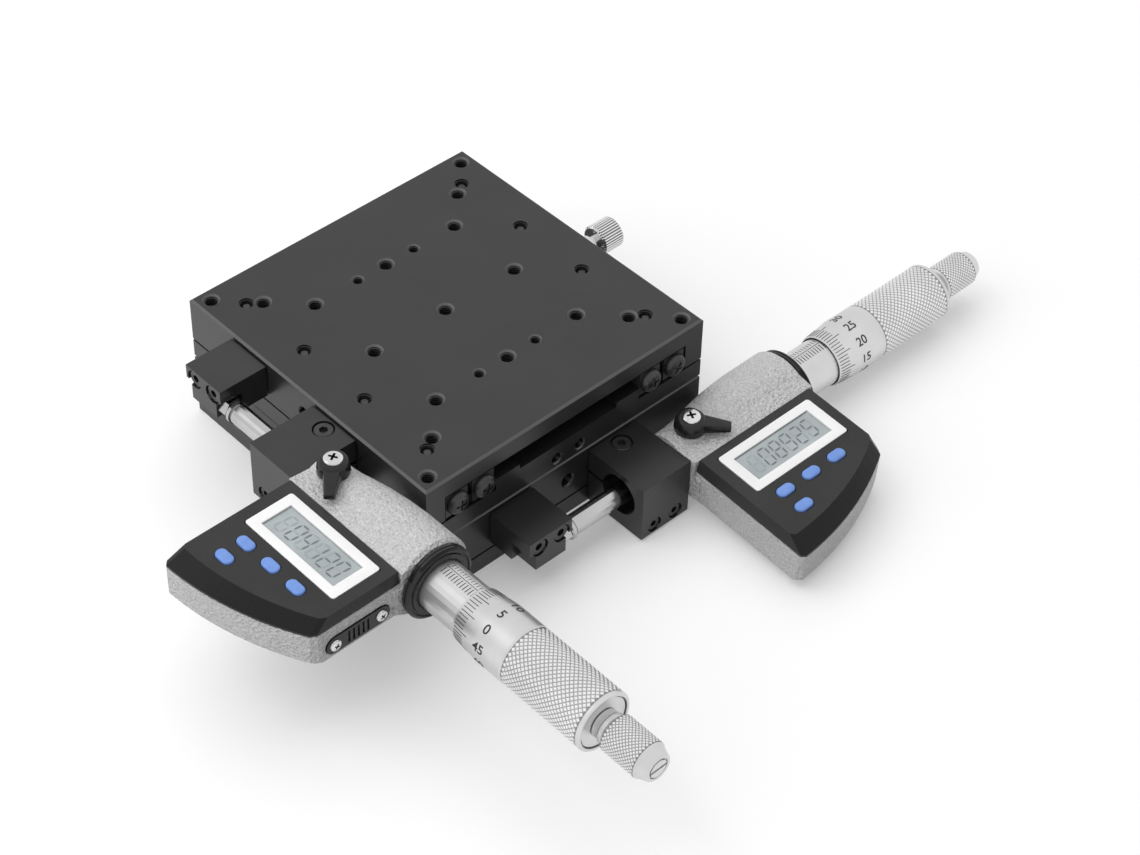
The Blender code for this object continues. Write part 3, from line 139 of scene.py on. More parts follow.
def add_softbox(name, place, size, power, glossy=False):
    """A square area lamp that faces the stage. Gloss shows it only where that is asked."""
    bpy.ops.object.light_add(type="AREA", location=place)
    lamp = bpy.context.object
    lamp.name = name
    lamp.data.size = size
    lamp.data.energy = power
    lamp.rotation_euler = (LAMP_TARGET - Vector(place)).to_track_quat("-Z", "Y").to_euler()
    lamp.visible_glossy = glossy


add_softbox("left_softbox", (-1.50, 0.32, 1.13), 2.6, 27)
add_softbox("top_softbox", (0.27, 0.60, 1.80), 2.6, 25)
add_softbox("glint_softbox", (-0.9, 0.9, 1.4), 0.9, 1.0, glossy=True)

# %% [markdown]
# The floor is a plain pale sheet, large enough that its edge never comes into the picture. It is pale
# for the camera and in reflections, and throws back less light than it seems to, so that the lower
# faces of the object stay as dark as on a small table in a large room.

# %% Floor
FLOOR_TONE_AS_LIGHT = 0.40
FLOOR_TONE_SEEN = 0.76
FLOOR_GLOW = 0.25
bpy.ops.mesh.primitive_plane_add(size=8, location=(0, 0, -0.0002))
floor = bpy.context.object
floor.name = "floor"
paper = bpy.data.materials.new("pale_floor")
paper.use_nodes = True
sheet = paper.node_tree
seen = looked_at(sheet)
glow = add_node(sheet, "ShaderNodeMath", {0: seen, 1: FLOOR_GLOW}, operation="MULTIPLY")
feed(sheet, sheet.nodes["Principled BSDF"], {
    "Roughness": 0.9, "Specular IOR Level": 0.1,
    "Base Color": blend_colours(sheet, seen, grey(FLOOR_TONE_AS_LIGHT), grey(FLOOR_TONE_SEEN)),
    "Emission Color": grey(1), "Emission Strength": glow.outputs[0],
})
floor.data.materials.append(paper)

# %% [markdown]
# ## Shared surface effects
# Real finishes are never one flat tone. Two small node groups carry what several finishes share. The
# grain group turns a place into a fine random value, for anodising, castings and moulded plastic. The
# turning group stretches the same idea into rings round an axis, as a lathe tool leaves them.


# %% Grain and turning marks
def new_group(name, vectors, floats, outputs):
    """A node group with vector and float inputs and float outputs, the inputs' values and its end."""
    group = bpy.data.node_groups.new(name, "ShaderNodeTree")
    for kind, labels in (("NodeSocketVector", vectors), ("NodeSocketFloat", floats)):
        for label in labels:
            group.interface.new_socket(label, in_out="INPUT", socket_type=kind)
    for label in outputs:
        group.interface.new_socket(label, in_out="OUTPUT", socket_type="NodeSocketFloat")
    return group, group.nodes.new("NodeGroupInput").outputs, group.nodes.new("NodeGroupOutput")


grain_group, given, end = new_group("surface_grain", ["Place"], ["Scale", "Cloud Scale"],
                                    ["Fine", "Cloud"])
fine = add_node(grain_group, "ShaderNodeTexNoise",
                {"Vector": given["Place"], "Scale": given["Scale"], "Detail": 3.0})
cloud = add_node(grain_group, "ShaderNodeTexNoise",
                 {"Vector": given["Place"], "Scale": given["Cloud Scale"], "Detail": 4.0})
feed(grain_group, end, {"Fine": fine.outputs["Fac"], "Cloud": cloud.outputs["Fac"]})

turning_group, given, end = new_group("turning_marks", ["Place", "Along"], [], ["Rings"])
stretch = add_node(turning_group, "ShaderNodeVectorMath", {0: given["Place"], 1: given["Along"]},
                   operation="MULTIPLY")
rings = add_node(turning_group, "ShaderNodeTexNoise",
                 {"Vector": stretch.outputs["Vector"], "Scale": 1.0, "Detail": 2.0})
feed(turning_group, end, {"Rings": rings.outputs["Fac"]})

# %% [markdown]
# Two more groups read the form itself. Sloping faces, such as chamfers and the mouths of tapped holes,
# get a painted highlight on the anodising and painted shade on the cover, and the bevel group finds them
# by how far their normal leans. The groove group measures the distance from a turned piece's axis, so
# that the low lines of a knurl get painted shade, with some oil and dust, while its crests stay bright.

# %% Bevels and grooves
BEVEL_LEAN = 0.70
BEVEL_RANGE = 0.16
bevel_group, given, end = new_group("bevel_mask", ["Lean"], [], ["Bevel"])
split = add_node(bevel_group, "ShaderNodeSeparateXYZ", {0: given["Lean"]})
steep = add_node(bevel_group, "ShaderNodeMath", {0: split.outputs["Z"]}, operation="ABSOLUTE")
sloping = add_node(bevel_group, "ShaderNodeMath", {0: steep.outputs[0], 1: BEVEL_LEAN, 2: BEVEL_RANGE},
                   operation="COMPARE")
feed(bevel_group, end, {"Bevel": sloping.outputs[0]})

groove_group, given, end = new_group("groove_mask", ["Place", "Axis Point", "Across"],
                                     ["Low", "High"], ["Crest"])
from_axis = add_node(groove_group, "ShaderNodeVectorMath", {0: given["Place"], 1: given["Axis Point"]},
                     operation="SUBTRACT")
across = add_node(groove_group, "ShaderNodeVectorMath",
                  {0: from_axis.outputs["Vector"], 1: given["Across"]}, operation="MULTIPLY")
distance = add_node(groove_group, "ShaderNodeVectorMath", {0: across.outputs["Vector"]},
                    operation="LENGTH")
crest = add_node(groove_group, "ShaderNodeMapRange", {
    "Value": distance.outputs["Value"], "From Min": given["Low"], "From Max": given["High"],
})
feed(groove_group, end, {"Crest": crest.outputs["Result"]})

# %% [markdown]
# Each finish is a Principled material whose colour and roughness wander a little between two tones. The
# helpers below wire the part that they share. Values that are the same all over stay on the shader.

# %% Helpers for finishes
NOISE_LOW = 0.35
NOISE_HIGH = 0.65


def spread(tree, value, low, high):
    """A noise value, which stays near one half, spread over a new range."""
    node = add_node(tree, "ShaderNodeMapRange", {
        "Value": value, "From Min": NOISE_LOW, "From Max": NOISE_HIGH, "To Min": low, "To Max": high,
    })
    return node.outputs["Result"]


def feed_shader(material, inputs):
    """Gives inputs of a material's shader their values or links."""
    feed(material.node_tree, material.node_tree.nodes["Principled BSDF"], inputs)


def new_finish(name, dark, light, rough, scale=3500, cloud_scale=300, metallic=0.0, specular=0.5):
    """A grained finish between two colours, whose nodes place, grain and tone can be used further."""
    material = bpy.data.materials.new(name)
    material.use_nodes = True
    tree = material.node_tree
    place = add_node(tree, "ShaderNodeTexCoord", {}, name="place")
    grain = add_node(tree, "ShaderNodeGroup", {}, node_tree=grain_group, name="grain")
    feed(tree, grain, {"Place": place.outputs["Object"], "Scale": scale, "Cloud Scale": cloud_scale})
    tone = blend_colours(tree, spread(tree, grain.outputs["Cloud"], 0, 1), dark, light)
    tone.node.name = "tone"
    feed_shader(material, {
        "Metallic": metallic, "Specular IOR Level": specular, "Base Color": tone,
        "Roughness": spread(tree, grain.outputs["Fine"], *rough),
    })
    return material


def output_of(material, node, output):
    """An output of one of a finish's own nodes."""
    return material.node_tree.nodes[node].outputs[output]


def add_relief(material, height, distance):
    """A bump on the shader from a height that changes over the surface."""
    bump = add_node(material.node_tree, "ShaderNodeBump",
                    {"Height": height, "Distance": distance, "Strength": 1.0})
    feed_shader(material, {"Normal": bump.outputs["Normal"]})


def burnish_bevels(material, colour):
    """Gives the sloping faces of a finish another colour: a lighter one is a painted highlight, a darker
    one painted shade.
    """
    tree = material.node_tree
    surface = tree.nodes.new("ShaderNodeNewGeometry")
    bevel = add_node(tree, "ShaderNodeGroup", {}, node_tree=bevel_group)
    feed(tree, bevel, {"Lean": surface.outputs["True Normal"]})
    tone = output_of(material, "tone", "Result")
    feed_shader(material, {"Base Color": blend_colours(tree, bevel.outputs["Bevel"], tone, colour)})


def darken_grooves(material, axis_point, across, low, high, colour):
    """Gives the low lines of a knurl a darker colour than its crests: painted shade, with some oil and
    dust.
    """
    tree = material.node_tree
    groove = add_node(tree, "ShaderNodeGroup", {}, node_tree=groove_group)
    feed(tree, groove, {
        "Place": output_of(material, "place", "Object"), "Axis Point": axis_point, "Across": across,
        "Low": low, "High": high,
    })
    tone = output_of(material, "tone", "Result")
    feed_shader(material, {"Base Color": blend_colours(tree, groove.outputs["Crest"], colour, tone)})



# %% [markdown]
# ### Plates, holders and stop blocks
# Matt black anodising on milled aluminium is a very dark grey with a fine grain. The tone comes partly
# from gloss: at a low angle the surface mirrors the white room softly, so the colour itself is darker
# than it looks.

# %% Black anodising
anodised = new_finish("black_anodising", grey(0.013), grey(0.017), (0.30, 0.36),
                      scale=5200, cloud_scale=35)
# The lighter chamfers and hole mouths are a painted highlight, the bright lines that edges catch.
burnish_bevels(anodised, grey(0.09))
add_relief(anodised, output_of(anodised, "grain", "Fine"), 0.000012)

# %% [markdown]
# Inside a tapped hole the anodised thread is duller than the milled face around it.

# %% Dull black for threads
thread_black = new_finish("dull_black_thread", grey(0.020), grey(0.028), (0.36, 0.44), specular=0.55)

# %% [markdown]
# A cross recess looks almost black at this size, and this finish paints that shade into its colour.

# %% Painted recess shade
recess_shade_paint = new_finish("painted_recess_shade", grey(0.003), grey(0.005), (0.50, 0.60), specular=0.10)

# %% [markdown]
# ### Casting
# The housing of each head is sprayed with a silver paint whose skin draws together into small round
# dimples, like orange peel. Cells of a smooth Voronoi pattern give the dimples, and a noise pattern
# on top keeps them from looking regular. The paint's metal flakes make light and dark speckles.

# %% Hammered silver paint
DIMPLE_SCALE = 780
DIMPLE_SHARE = 0.8
hammered = new_finish("hammered_silver", grey(0.50), grey(0.70), (0.34, 0.50),
                      scale=1500, cloud_scale=1500, metallic=0.15)
cells = add_node(hammered.node_tree, "ShaderNodeTexVoronoi", {}, feature="SMOOTH_F1")
feed(hammered.node_tree, cells, {
    "Vector": output_of(hammered, "place", "Object"), "Scale": DIMPLE_SCALE, "Smoothness": 0.6,
})
peel = add_node(hammered.node_tree, "ShaderNodeMath", {
    0: cells.outputs["Distance"], 1: DIMPLE_SHARE, 2: output_of(hammered, "grain", "Fine"),
}, operation="MULTIPLY_ADD")
add_relief(hammered, peel.outputs[0], 0.0008)

# %% [markdown]
# ### Metals
# The guides and screws are blackened steel, the spindle and the anvil are polished, and the sleeve,
# thimble and knobs are satin chrome. Turned pieces show rings round their own axis, and the two heads
# point along different axes, so the chrome exists once for each head.

# %% Steel and chrome
AXES = ("x", "y")
RINGS = {"x": (5200, 60, 60), "y": (60, 5200, 60)}
ACROSS = {"x": (0, 1, 1), "y": (1, 0, 1)}
rail_steel = new_finish("blackened_guide_steel", grey(0.05), grey(0.075), (0.30, 0.40),
                        scale=3000, cloud_scale=90, metallic=0.6)
black_screw = new_finish("blackened_screw", grey(0.040), grey(0.055), (0.22, 0.30), metallic=0.45)
spring_steel = new_finish("spring_steel", grey(0.35), grey(0.45), (0.24, 0.32),
                          cloud_scale=200, metallic=1.0)
plated = new_finish("nickel_plate", grey(0.62), grey(0.72), (0.14, 0.22), metallic=1.0)


def turned_finish(name, dark, light, rough, axis):
    """A bright metal with fine rings round an axis."""
    material = new_finish(name, dark, light, rough, scale=2600, cloud_scale=60, metallic=1.0)
    tree = material.node_tree
    marks = add_node(tree, "ShaderNodeGroup", {}, node_tree=turning_group)
    feed(tree, marks, {"Place": output_of(material, "place", "Object"), "Along": RINGS[axis]})
    feed_shader(material, {"Roughness": spread(tree, marks.outputs["Rings"], *rough)})
    add_relief(material, marks.outputs["Rings"], 0.000008)
    return material


def knurled_finish(name, axis, point, low, high, groove_shade_and_dirt=0.14):
    """Satin chrome for a knurled grip, its crests lighter than plain satin chrome as a painted highlight,
    and its low lines between two radii dark with painted shade and some oil and dust.
    """
    material = turned_finish(name, grey(0.82), grey(0.90), (0.26, 0.38), axis)
    darken_grooves(material, point, ACROSS[axis], low, high, grey(groove_shade_and_dirt))
    return material


satin = {axis: turned_finish(f"satin_chrome_{axis}", grey(0.62), grey(0.69), (0.32, 0.44), axis)
         for axis in AXES}
polished = {axis: turned_finish(f"polished_steel_{axis}", grey(0.46), grey(0.54), (0.14, 0.24), axis)
            for axis in AXES}

# %% [markdown]
# ### Plastics and the display
# The display's cover is dark grey plastic with a soft gloss, its frame is white, the keys are blue. The
# display itself is a pale grey panel behind a clear pane, so it gets a smooth coat over its colour.

# %% Plastics
cover_black = new_finish("dark_cover_plastic", grey(0.030), grey(0.036), (0.20, 0.28),
                         scale=2400, cloud_scale=50, specular=0.20)
# The darker slopes of the cover are painted shade.
burnish_bevels(cover_black, grey(0.008))
add_relief(cover_black, output_of(cover_black, "grain", "Fine"), 0.00001)
lever_black = new_finish("black_lever_plastic", grey(0.010), grey(0.014), (0.16, 0.22),
                         scale=2400, cloud_scale=120, specular=0.35)
frame_white = new_finish("white_frame_plastic", grey(0.86), grey(0.90), (0.36, 0.44),
                         scale=2400, cloud_scale=60)
key_blue = new_finish("blue_key_plastic", (0.14, 0.27, 0.66, 1), (0.17, 0.31, 0.72, 1), (0.30, 0.38),
                      scale=2400, cloud_scale=250)
display_grey = new_finish("display_grey", (0.33, 0.37, 0.38, 1), (0.44, 0.49, 0.50, 1), (0.45, 0.55),
                          scale=2400, cloud_scale=55)
feed_shader(display_grey, {"Coat Weight": 0.8, "Coat Roughness": 0.08})
digit_ink = new_finish("display_digit", (0.13, 0.15, 0.17, 1), (0.16, 0.18, 0.21, 1), (0.4, 0.5),
                       scale=2400, cloud_scale=200)
ghost_ink = new_finish("display_resting_segment", (0.29, 0.33, 0.35, 1), (0.34, 0.38, 0.40, 1),
                       (0.4, 0.5), scale=2400, cloud_scale=200)
scale_ink = new_finish("scale_ink", grey(0.018), grey(0.030), (0.5, 0.6), scale=2400)

# %% [markdown]
# Every CAD node keeps its shape and takes the finish of the real piece. A lock screw lies across the
# stage, so its chrome is that of the other axis.

# %% Finishes on the CAD nodes
CROSSWISE = {"x": "y", "y": "x"}


def finish_for(name):
    """The finish of a CAD node, from what it is and which head it belongs to."""
    axis = name[0]
    if "anvil" in name or "spindle" in name:
        return polished[axis]
    if "sleeve" in name or "thimble" in name or "ratchet" in name:
        return satin[axis]
    if "lock_screw" in name:
        return satin[CROSSWISE[axis]]
    for word, material in (
        ("lever", lever_black), ("hatch", lever_black), ("ring_nut", cover_black),
        ("rail", rail_steel), ("cage", rail_steel), ("spring", spring_steel), ("casting", hammered),
        ("cover", cover_black), ("screen_frame", frame_white), ("window", display_grey),
        ("button", key_blue), ("clamp_screw", black_screw),
    ):
        if word in name:
            return material
    return anodised


for name, node in nodes.items():
    node.data.materials.clear()
    node.data.materials.append(finish_for(name))
print("finished nodes:", len(nodes))

# %% [markdown]
# ## Where the heads are
# Each head is modelled lying along the X axis from the face of its holder, with its display to the -Y
# side and up along +Z. One matrix per head then carries a finished piece to its place. The lower head
# is turned a little about its own axis in its clamp, and the upper head points along -Y.

# %% Head places and object helpers
HEAD_SIDE = 0.0777
HEAD_HEIGHT = 0.0142
STAGE_LIFT = 0.02615
HEAD_ROLL = math.radians(3.8)
WELD = 0.000001
HEAD_BODIES = {"x": "base", "y": "saddle"}
QUARTER_BACK = Matrix.Rotation(math.radians(-90), 4, "Z")
HEAD_PLACES = {
    "x": Matrix.Translation((0.0318, -HEAD_SIDE, HEAD_HEIGHT)) @ Matrix.Rotation(HEAD_ROLL, 4, "X"),
    "y": Matrix.Translation((-HEAD_SIDE, -0.0268, HEAD_HEIGHT + STAGE_LIFT)) @ QUARTER_BACK,
}
STAGE_PLACES = {
    "x": Matrix.Identity(4),
    "y": Matrix.Translation((0, 0, STAGE_LIFT)) @ QUARTER_BACK,
}


def deselect():
    if bpy.context.object and bpy.context.object.mode != "OBJECT":
        bpy.ops.object.mode_set(mode="OBJECT")
    bpy.ops.object.select_all(action="DESELECT")


def make_active(obj):
    deselect()
    obj.select_set(True)
    bpy.context.view_layer.objects.active = obj


def copy_of(obj, name):
    """A copy of an object with its own mesh."""
    twin = obj.copy()
    twin.data = obj.data.copy()
    twin.name = name
    scene.collection.objects.link(twin)
    return twin


def for_both_heads(obj, name):
    """A piece for the lower head, x, and its copy for the upper head, y."""
    obj.name = f"x_{name}"
    return {"x": obj, "y": copy_of(obj, f"y_{name}")}


def apply_modifier(obj, kind, **values):
    """Adds a modifier with its settings and applies it."""
    make_active(obj)
    modifier = obj.modifiers.new(kind.lower(), kind)
    for key, value in values.items():
        setattr(modifier, key, value)
    bpy.ops.object.modifier_apply(modifier=modifier.name)


def combine(obj, tool, operation="DIFFERENCE"):
    """Cuts the form of a tool out of an object, or adds it with UNION, and removes the tool."""
    apply_modifier(obj, "BOOLEAN", object=tool, operation=operation, solver="EXACT")
    bpy.data.objects.remove(tool)


def join(objs, name):
    """Joins objects into the first one."""
    deselect()
    for obj in objs:
        obj.select_set(True)
    bpy.context.view_layer.objects.active = objs[0]
    bpy.ops.object.join()
    objs[0].name = name
    return objs[0]


def off_axis(place):
    """The distance of a place from the X axis."""
    return math.hypot(place.y, place.z)


def settle(obj, matrix, material, body, smooth=30, grip=None, grip_material=None):
    """Moves a finished piece to its place, gives it its finish and lets it ride on a body.

    The grip's finish goes to the faces with the second material slot, and to those between the two
    places of a grip, along the piece's own axis, that lie outside the grip's third value, a radius.
    """
    grip_faces = [face.index for face in obj.data.polygons
                  if face.material_index == 1 or grip and grip[0] < face.center.x < grip[1]
                  and off_axis(face.center) > grip[2]]
    obj.data.transform(matrix)
    make_active(obj)
    bpy.ops.object.shade_smooth_by_angle(angle=math.radians(smooth))
    obj.data.materials.clear()
    obj.data.materials.append(material)
    if grip_material:
        obj.data.materials.append(grip_material)
    for index in grip_faces:
        obj.data.polygons[index].material_index = 1
    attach(obj, body)


# %% [markdown]
# ## Turned pieces
# A lathe part is a profile swept round its axis. Here a circle is extruded step by step along X, and
# each new ring is scaled to its radius. A knurled grip is the same tube with many short steps. Every
# second crossing of its grid is raised and the low crossings are joined, which leaves small pyramids
# with grooves that run round the tube both ways, as a knurling tool presses them.


# %% Lathe and knurl
def widen(factor, centre=0):
    """Scales what is selected away from the X axis."""
    bpy.ops.transform.resize(value=(1, factor, factor), center_override=(centre, 0, 0))


def lathe(name, stations, around=64, closed_ring=False):
    """A turned solid along X from (place, radius) stations, or a ring where the last one is the first."""
    deselect()
    start, radius = stations[0]
    bpy.ops.mesh.primitive_circle_add(
        vertices=around, radius=radius, fill_type="NOTHING" if closed_ring else "NGON",
        location=(start, 0, 0), rotation=(0, math.pi / 2, 0))
    obj = bpy.context.object
    obj.name = name
    bpy.ops.object.transform_apply(location=True, rotation=True, scale=True)
    bpy.ops.object.mode_set(mode="EDIT")
    bpy.ops.mesh.select_all(action="SELECT")
    extrude = bpy.ops.mesh.extrude_edges_move if closed_ring else bpy.ops.mesh.extrude_region_move
    for (here, now), (there, then) in zip(stations, stations[1:]):
        extrude(TRANSFORM_OT_translate={"value": (there - here, 0, 0)})
        if then != now:
            widen(then / now, there)
    bpy.ops.mesh.select_all(action="SELECT")
    if closed_ring:
        bpy.ops.mesh.remove_doubles(threshold=WELD)
    bpy.ops.mesh.normals_make_consistent(inside=False)
    bpy.ops.object.mode_set(mode="OBJECT")
    return obj


def line_round(place, around):
    """The number of the grid line that a place lies on, counted round the X axis."""
    return round(math.atan2(place.z, place.y) / (2 * math.pi) * around)


def select_vertices(obj, wanted):
    """Selects the vertices of an object in edit mode whose place passes a test."""
    bpy.ops.mesh.select_mode(type="VERT")
    bpy.ops.mesh.select_all(action="DESELECT")
    for vertex in bmesh.from_edit_mesh(obj.data).verts:
        if wanted(vertex.co):
            vertex.select_set(True)
    bmesh.update_edit_mesh(obj.data)


def press_knurl(obj, start, end, steps, around, radius, height):
    """Presses a diamond knurl into the rings of a turned piece between two places."""
    pitch = (end - start) / steps

    def is_crossing(place, raised):
        """Whether a place is a raised, or else a low, crossing of the knurl's grid."""
        margin = pitch * (0.5 if raised else -0.5)
        inside = start + margin < place.x < end - margin
        on_skin = abs(off_axis(place) - radius) < height * 0.1
        even = (round((place.x - start) / pitch) + line_round(place, around)) % 2 == 0
        return inside and on_skin and even == raised

    make_active(obj)
    bpy.ops.object.mode_set(mode="EDIT")
    select_vertices(obj, lambda place: is_crossing(place, False))
    bpy.ops.mesh.vert_connect()
    select_vertices(obj, lambda place: is_crossing(place, True))
    widen(1 + height / radius)
    bpy.ops.object.mode_set(mode="OBJECT")


def grip_stations(start, end, radius, steps):
    """Even stations for the grid of a grip."""
    return [(start + (end - start) * i / steps, radius) for i in range(steps + 1)]


# %% [markdown]
# ### Thimbles
# The thimble is a long sleeve with a graduated cone at the front, a plain band with the numbers and a
# knurled grip. Its end face lies inside a thin rim. It is made once and copied for the second head.

# %% Thimbles
THIMBLE_START = 0.0768
THIMBLE_END = 0.1347
GRIP_START = 0.1000
GRIP_END = 0.1331
CONE_END = 0.0873
EDGE_RADIUS = 0.00975
THIMBLE_RADIUS = 0.01085
VALLEY_RADIUS = 0.01062
KNURL_HEIGHT = 0.00024
GRIP_STEPS = 36
GRIP_AROUND = 72

thimble_profile = [
    (0.1302, 0.0034), (0.1220, 0.0034), (0.1220, 0.0093), (0.0770, 0.0093), (0.0768, 0.00945),
    (0.0768, 0.00970), (0.0770, EDGE_RADIUS), (CONE_END - 0.0006, 0.01079), (CONE_END, THIMBLE_RADIUS),
    (GRIP_START - 0.0006, THIMBLE_RADIUS), (GRIP_START - 0.0004, 0.01066), (GRIP_START - 0.0002, 0.01066),
    *grip_stations(GRIP_START, GRIP_END, VALLEY_RADIUS, GRIP_STEPS),
    (GRIP_END + 0.0002, 0.01080), (THIMBLE_END - 0.0006, 0.01080), (THIMBLE_END - 0.0001, 0.01040),
    (THIMBLE_END, 0.01025), (THIMBLE_END, 0.00965), (THIMBLE_END - 0.0002, 0.00950),
    (THIMBLE_END - 0.0018, 0.00945), (THIMBLE_END - 0.0018, 0.00905), (THIMBLE_END - 0.0006, 0.00900),
    (THIMBLE_END - 0.0006, 0.0028), (0.1310, 0.0028),
]
thimble = lathe("x_thimble_knurled", thimble_profile, GRIP_AROUND)
press_knurl(thimble, GRIP_START, GRIP_END, GRIP_STEPS, GRIP_AROUND, VALLEY_RADIUS, KNURL_HEIGHT)
for axis, piece in for_both_heads(thimble, "thimble_knurled").items():
    finish = knurled_finish(f"thimble_chrome_{axis}", axis, HEAD_PLACES[axis].translation,
                            VALLEY_RADIUS - 0.00003, VALLEY_RADIUS + KNURL_HEIGHT * 0.45)
    settle(piece, HEAD_PLACES[axis], satin[axis], f"{axis}_thimble", 25,
           (GRIP_START, GRIP_END, 0.0100), finish)
    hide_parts(f"{axis}_thimble")
print("thimble faces:", len(thimble.data.polygons))

# %% [markdown]
# ### Ratchets
# The ratchet knob turns on the thimble's end. A short plain neck leads to a finer knurl and a tapered
# cap, and a slotted screw holds it. The slot is cut with a block, as a saw cuts the real one.

# %% Ratchets
RATCHET_START = 0.1396
RATCHET_END = 0.1535
RATCHET_RADIUS = 0.00662
RATCHET_KNURL_HEIGHT = 0.0002
RATCHET_STEPS = 20
RATCHET_AROUND = 58
SLOT_PLACE = 0.1578
SLOT_SIZE = (0.0018, 0.0072, 0.0009)
ratchet_profile = [
    (0.1313, 0.0025), (0.1338, 0.0025), (0.1338, 0.0044), (0.1343, 0.0044), (0.1344, 0.0051),
    (0.1366, 0.0051), (0.1367, 0.0048), (0.1370, 0.0048), (0.1371, 0.0055), (0.1385, 0.0055),
    (0.1387, 0.0058), (0.1394, 0.0065),
    *grip_stations(RATCHET_START, RATCHET_END, RATCHET_RADIUS, RATCHET_STEPS),
    (0.1536, 0.0066), (0.1540, 0.0062), (0.1573, 0.0050), (0.1576, 0.0047), (0.1576, 0.00375),
    (0.1569, 0.00365), (0.1569, 0.00335), (0.1577, 0.00325),
]
ratchet = lathe("x_ratchet_knurled", ratchet_profile, RATCHET_AROUND)
press_knurl(ratchet, RATCHET_START, RATCHET_END, RATCHET_STEPS, RATCHET_AROUND, RATCHET_RADIUS,
            RATCHET_KNURL_HEIGHT)
bpy.ops.mesh.primitive_cube_add(size=1, location=(SLOT_PLACE, 0, 0), scale=SLOT_SIZE)
slot_cutter = bpy.context.object
bpy.ops.object.transform_apply(location=True, rotation=True, scale=True)
combine(ratchet, slot_cutter)
for axis, piece in for_both_heads(ratchet, "ratchet_knurled").items():
    finish = knurled_finish(f"ratchet_chrome_{axis}", axis, HEAD_PLACES[axis].translation,
                            RATCHET_RADIUS - 0.00002, RATCHET_RADIUS + 0.0001)
    settle(piece, HEAD_PLACES[axis], satin[axis], f"{axis}_ratchet", 25,
           (RATCHET_START, RATCHET_END, 0.0060), finish)
    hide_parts(f"{axis}_ratchet")

# %% [markdown]
# ### Lock screws
# A straight knurl is simpler than a diamond one: every second line of the knob's skin is drawn in. The
# knob keeps a plain chamfer at both ends, and a collar sits between it and the black lock plate.

# %% Lock screws
LOCK_POINT = Vector((-0.003, 0, 0.01285))
LOCK_PLACE = Matrix.Translation(LOCK_POINT) @ Matrix.Rotation(math.radians(90), 4, "Z")
KNOB_AROUND = 72
KNOB_START = 0.0739
KNOB_BASE_RADIUS = 0.0052
GROOVE_SCALE = 0.935
lock_profile = [
    (0.0628, 0.0019), (0.0631, 0.0022), (0.0686, 0.0022), (0.0686, 0.0034), (0.0688, 0.0036),
    (0.0709, 0.0036), (0.0712, 0.0033), (0.0712, 0.0028), (0.0736, 0.0028), (0.0736, 0.0052),
    (0.0742, 0.0060), (0.0825, 0.0060), (0.0831, 0.0054), (0.0831, 0.0034), (0.0828, 0.0030),
]
lock_knob = lathe("x_lock_screw_knurled", lock_profile, KNOB_AROUND)


def in_groove(place):
    """Whether a place lies on a line of the knob's skin that is drawn in."""
    on_skin = place.x > KNOB_START and off_axis(place) > KNOB_BASE_RADIUS
    return on_skin and line_round(place, KNOB_AROUND) % 2 == 1


make_active(lock_knob)
bpy.ops.object.mode_set(mode="EDIT")
select_vertices(lock_knob, in_groove)
widen(GROOVE_SCALE)
bpy.ops.object.mode_set(mode="OBJECT")
for axis, piece in for_both_heads(lock_knob, "lock_screw_knurled").items():
    finish = knurled_finish(f"lock_screw_chrome_{axis}", CROSSWISE[axis],
                            STAGE_PLACES[axis] @ LOCK_POINT, 0.00562, 0.00590, 0.02)
    settle(piece, STAGE_PLACES[axis] @ LOCK_PLACE, plated, f"{axis}_lock", 20,
           (0.0740, 0.0827, 0.0050), finish)
    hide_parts(f"{axis}_lock_screw")

# %% [markdown]
# ## Engraved scales
# Scales and numbers are drawn flat first, with X along the head and Y as the way round it, and are then
# wrapped round the metal like a label. A flat drawing is easy to lay out, and one wrapping helper serves
# lines, ticks and digits. Each mark is a thin inlay, a few hundredths of a millimetre high.

# %% Flat marks and wrapping
INK_THICKNESS = 0.00006
INK_LIFT = 0.00002


def flat_mark(x, y, length, width, steps):
    """A thin flat bar, divided across so that it can follow a curve."""
    deselect()
    bpy.ops.mesh.primitive_grid_add(x_subdivisions=1, y_subdivisions=steps, size=1, location=(x, y, 0))
    bar = bpy.context.object
    bar.scale = (length, width, 1)
    bpy.ops.object.transform_apply(location=True, rotation=True, scale=True)
    return bar


def flat_number(text, x, y, size):
    """A number as a flat mesh, read along X, centred on its place, fine enough to follow a curve."""
    deselect()
    bpy.ops.object.text_add(location=(0, 0, 0))
    label = bpy.context.object
    label.data.body = text
    label.data.size = size
    label.data.align_x = "CENTER"
    label.data.align_y = "CENTER"
    label.data.resolution_u = 3
    label.data.offset = 0.00006
    bpy.ops.object.convert(target="MESH")
    label = bpy.context.object
    bpy.ops.object.mode_set(mode="EDIT")
    bpy.ops.mesh.select_all(action="SELECT")
    bpy.ops.mesh.quads_convert_to_tris()
    bpy.ops.mesh.subdivide(number_cuts=2)
    bpy.ops.object.mode_set(mode="OBJECT")
    label.data.transform(Matrix.Translation((x, y, 0)))
    return label


def wrap(obj, radius_at):
    """Wraps a flat drawing round the X axis, on the radius of each place, and gives it a thickness."""
    for vertex in obj.data.vertices:
        radius = radius_at(vertex.co.x)
        turn = vertex.co.y / radius
        vertex.co = (vertex.co.x, radius * math.sin(turn), radius * math.cos(turn))
    make_active(obj)
    bpy.ops.object.mode_set(mode="EDIT")
    bpy.ops.mesh.select_all(action="SELECT")
    bpy.ops.mesh.remove_doubles(threshold=WELD)
    bpy.ops.object.mode_set(mode="OBJECT")
    apply_modifier(obj, "SOLIDIFY", thickness=INK_THICKNESS, offset=0)
    return obj


# %% [markdown]
# The sleeve's scale has one long reading line with ticks to both sides. It goes on below the thimble,
# and shows when the thimble is turned out.

